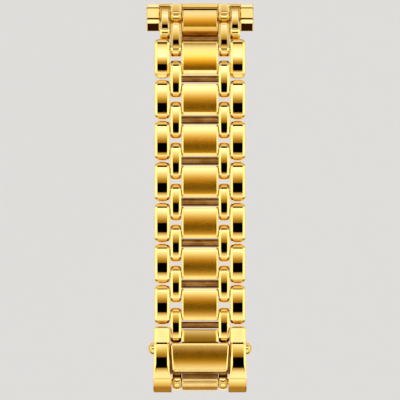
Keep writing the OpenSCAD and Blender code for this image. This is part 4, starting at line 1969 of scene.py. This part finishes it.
@dataclass
class Stage:
    """Pale floor that curves up into a wall, reflector cards, soft boxes and the camera.

    Sizes are in millimetres. The camera looks straight ahead from far off, so that near and far
    pieces keep one scale, and frame_width is what it sees at front_y.
    """

    floor_z: float = -1000.0
    floor_r: float = 900.0
    wall_r: float = 3000.0
    wall_top: float = 2600.0
    bend_r: float = 1100.0
    turns: int = 96
    paper_glow: float = 0.80
    paper_plain: float = 0.85
    paper_low: Triple = (0.80, 0.79, 0.77)
    paper_high: Triple = (0.83, 0.82, 0.80)
    paper_white: Triple = (1.0, 0.985, 0.965)
    paper_cloud: Triple = (3, 3, 3)
    sky: Triple = (1.0, 0.985, 0.96)
    sky_glow: float = 0.85
    middle_z: float = -34.0
    camera_gap: float = 1500.0
    front_y: float = -12.4
    frame_width: float = 74.08
    sensor: float = 36.0
    clip: Pair = (50.0, 30000.0)
    boxes: tuple[SoftBox, ...] = (
        SoftBox("box_left", (-0.92, -0.43, 0.0), 0.42, 1.0, 0.85),
        SoftBox("box_right", (0.92, -0.43, 0.0), 0.42, 1.0, 0.85),
        SoftBox("box_over", (0.0, -0.35, 1.1), 1.1, 0.9, 1.2, False),
    )

    def build(self) -> None:
        """Makes the whole stage."""
        self._world()
        self._bowl()
        Arch().build()
        for box in self.boxes:
            box.build(Vector((0.0, 0.0, self.middle_z * MM)))
        self._camera()

    def _world(self) -> None:
        """Even white light from all round."""
        world = bpy.data.worlds.new("studio")
        bpy.context.scene.world = world
        world.use_nodes = True
        graph = Graph(world.node_tree)
        light = graph.node("ShaderNodeBackground", {}, {"Color": self.sky, "Strength": self.sky_glow})
        graph.show(light, "ShaderNodeOutputWorld")

    def _bowl(self) -> None:
        """Makes the floor and wall.

        Their profile is a flat disc, a quarter circle and an upright. Each point of it, at radius r
        and height z, becomes the ring (r cos a, r sin a, z).
        """
        middle = (self.wall_r - self.bend_r, self.floor_z + self.bend_r)
        bend = arc(middle, self.bend_r, -90, 0, count=14)
        floor = [[1.0, self.floor_z], [self.floor_r, self.floor_z]]
        profile = np.vstack([floor, bend, [[self.wall_r, self.wall_top]]])
        spots = profile[:, 0, None, None] * circle(self.turns)[None]
        heights = np.broadcast_to(profile[:, 1, None, None], (len(profile), self.turns, 1))
        shell = Shell()
        index = shell.grid(np.concatenate([spots, heights], axis=2))
        shell.add_faces(index[:1])
        shell.to_object("stage_bowl", (self._paper(),))

    def _paper(self) -> bpy.types.Material:
        """Pale paper that shows plain to the camera and in reflections, and takes some shade.

        Returns:
            The material.
        """
        graph, made = new_material("stage_paper")
        tone = graph.noise(self.paper_cloud, 2.0).above(0.3, 0.7)
        colour = graph.blend(tone, self.paper_low, self.paper_high)
        paper = graph.node("ShaderNodeBsdfDiffuse", {}, {"Color": colour, "Roughness": 1.0})
        glow = {"Color": self.paper_white, "Strength": self.paper_glow}
        plain = graph.node("ShaderNodeEmission", {}, glow)
        seen = graph.node("ShaderNodeLightPath", {}, {}, "Is Camera Ray")
        for kind in ("Is Glossy Ray", "Is Transmission Ray"):
            ray = graph.node("ShaderNodeLightPath", {}, {}, kind)
            seen = graph.node("ShaderNodeMath", {"operation": "MAXIMUM"}, {0: seen, 1: ray})
        mix = {"Fac": seen * self.paper_plain, 1: paper, 2: plain}
        graph.show(graph.node("ShaderNodeMixShader", {}, mix))
        return made

    def _camera(self) -> None:
        """Makes the camera."""
        data = bpy.data.cameras.new("camera")
        data.sensor_width = self.sensor
        data.lens = self.sensor * self.camera_gap / self.frame_width
        data.clip_start, data.clip_end = self.clip[0] * MM, self.clip[1] * MM
        camera = bpy.data.objects.new("camera", data)
        camera.location = (0.0, (self.front_y - self.camera_gap) * MM, self.middle_z * MM)
        camera.rotation_euler = (math.radians(90.0), 0.0, 0.0)
        scene = bpy.context.scene
        scene.collection.objects.link(camera)
        scene.camera = camera
        scene.view_settings.view_transform = "Standard"


# Building


@dataclass
class Builder:
    """Makes every piece and ties it to its body and to the CAD node that it stands for.

    The fields say where the looks differ by row or number: second_bend bends the fronts of row 2,
    tone_at and tone_step place the darkest painted shade of each centre link,
    bar_gain thickens the bridge bars, and lower_cut narrows the lobes of the lower intermediate link.
    """

    frame: dict[str, Any]
    finishes: Finishes
    second_bend: float = 0.032
    tone_at: float = 0.12
    tone_step: float = 0.04
    bar_gain: float = 0.1
    last_thin: int = 3
    lower_cut: float = 0.4
    lower_leans: Pair = (-85.0, -88.0)

    def tie(self, piece: bpy.types.Object, body: str, node: str) -> None:
        """Lets a piece ride on a body in place of a CAD node, and reports it.

        Args:
            piece: The piece.
            body: Name of the CAD body.
            node: Name of the CAD node.
        """
        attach(piece, body)
        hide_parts(node)
        LOG.info("%s rides on %s for %s: %d faces", piece.name, body, node, len(piece.data.polygons))

    def strap(self) -> None:
        """Makes all links of the strap."""
        for row in range(1, STRAP.rows + 1):
            bend = self.second_bend if row == 2 else 0.0
            wide = STRAP.first_outer_w if row == 1 else STRAP.outer_w
            place = self._at_segment(2 * row - 1)
            body = f"row_{row}"
            for side in Side:
                node = f"outer_{side.word}_{row}"
                piece = OuterLink(side, wide, bend).build(f"{node}_dressed", place, self.finishes)
                self.tie(piece, body, node)
            node = f"centre_link_{row}"
            # Each row's centre link gets its painted shade a little lower than the last.
            link = CentreLink(self.tone_at + self.tone_step * row, bend)
            self.tie(link.build(f"{node}_dressed", place, self.finishes), body, node)
        for number in range(1, STRAP.rows + 2):
            node = f"intermediate_{number}"
            place = self._at_segment(2 * number - 2)
            piece = self._intermediate(number).build(f"{node}_dressed", place, self.finishes)
            self.tie(piece, node, node)

    def _intermediate(self, number: int) -> IntermediateLink:
        """Sizes of an intermediate link.

        The bars of the first few and of the last stay thin, because their neighbours turn closer
        to them, and the first and the last keep their length.

        Args:
            number: Its number.

        Returns:
            The link.
        """
        thin = number <= self.last_thin or number > STRAP.rows
        link = IntermediateLink(bridge_r=STRAP.bridge_r + (0.0 if thin else self.bar_gain))
        return replace(link, stretch=0.0) if number in (1, STRAP.rows + 1) else link

    def lower_links(self) -> None:
        """Makes the intermediate and centre link that lead into the other strap half."""
        lean, row_lean = self.lower_leans
        turn = math.radians(-lean)
        (y, z), (pin_y, pin_z) = STRAP.last_pin, STRAP.lower_pin
        y, z = y + pin_y, z + pin_z
        middle = IntermediateLink(lobe_w=STRAP.mid_w - self.lower_cut, stretch=0.0)
        piece = middle.build("lower_intermediate_dressed", Place(y, z, lean), self.finishes)
        self.tie(piece, "lower_intermediate", "lower_intermediate")
        place = Place(y + STRAP.mid_span * math.sin(turn), z - STRAP.mid_span * math.cos(turn), row_lean)
        piece = CentreLink().build("lower_centre_link_dressed", place, self.finishes)
        self.tie(piece, "lower_row", "lower_centre_link")

    def clasp(self) -> None:
        """Makes the clasp's bow, plate, buttons and springs."""
        clasp = Clasp()
        button, place = clasp.button, clasp.place
        self.tie(clasp.frame(self.finishes), "cover", "clasp_frame")
        plate = Plate(clasp.rail).build(place, self.finishes)
        self.tie(plate, "cover", "cover_plate")
        y, z = place.y + button.axis[0], place.z + button.axis[1]
        for side in Side:
            body = f"button_{side.word}"
            self.tie(button.build(side, place, self.finishes), body, body)
            spring = button.spring(side, place, self.finishes)
            self.tie(spring, "cover", f"button_spring_{side.word}")
            anchor = (side.value * button.spring_from * MM, y * MM, z * MM)
            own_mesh(spring)

    def end_piece(self) -> None:
        """Makes the end piece."""
        self.tie(EndPiece().build(self.finishes), "end", "end_piece")

    def dress_nodes(self) -> None:
        """Gives the CAD nodes that stay in view their finish."""
        for name, node in self.frame["nodes"].items():
            node.data.materials.clear()
            node.data.materials.append(self.finishes.lobe if name == "base_blade" else self.finishes.satin)

    @staticmethod
    def _at_segment(segment: int) -> Place:
        """Place of a segment, by its upper pin and its lean."""
        return Place(*STRAP.pin(segment), STRAP.lean(segment))


def corners(box: tuple[Vector, Vector]) -> list[list[float]]:
    """Box as plain lists of numbers."""
    return [list(corner) for corner in box]


def main() -> None:
    """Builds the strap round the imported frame."""
    logging.basicConfig(level=logging.INFO, format="%(name)s: %(message)s")
    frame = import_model()
    Stage().build()
    builder = Builder(frame, Finishes())
    builder.dress_nodes()
    builder.lower_links()
    builder.strap()
    builder.clasp()
    builder.end_piece()
    bpy.context.view_layer.update()


if __name__ == "__main__":
    main()
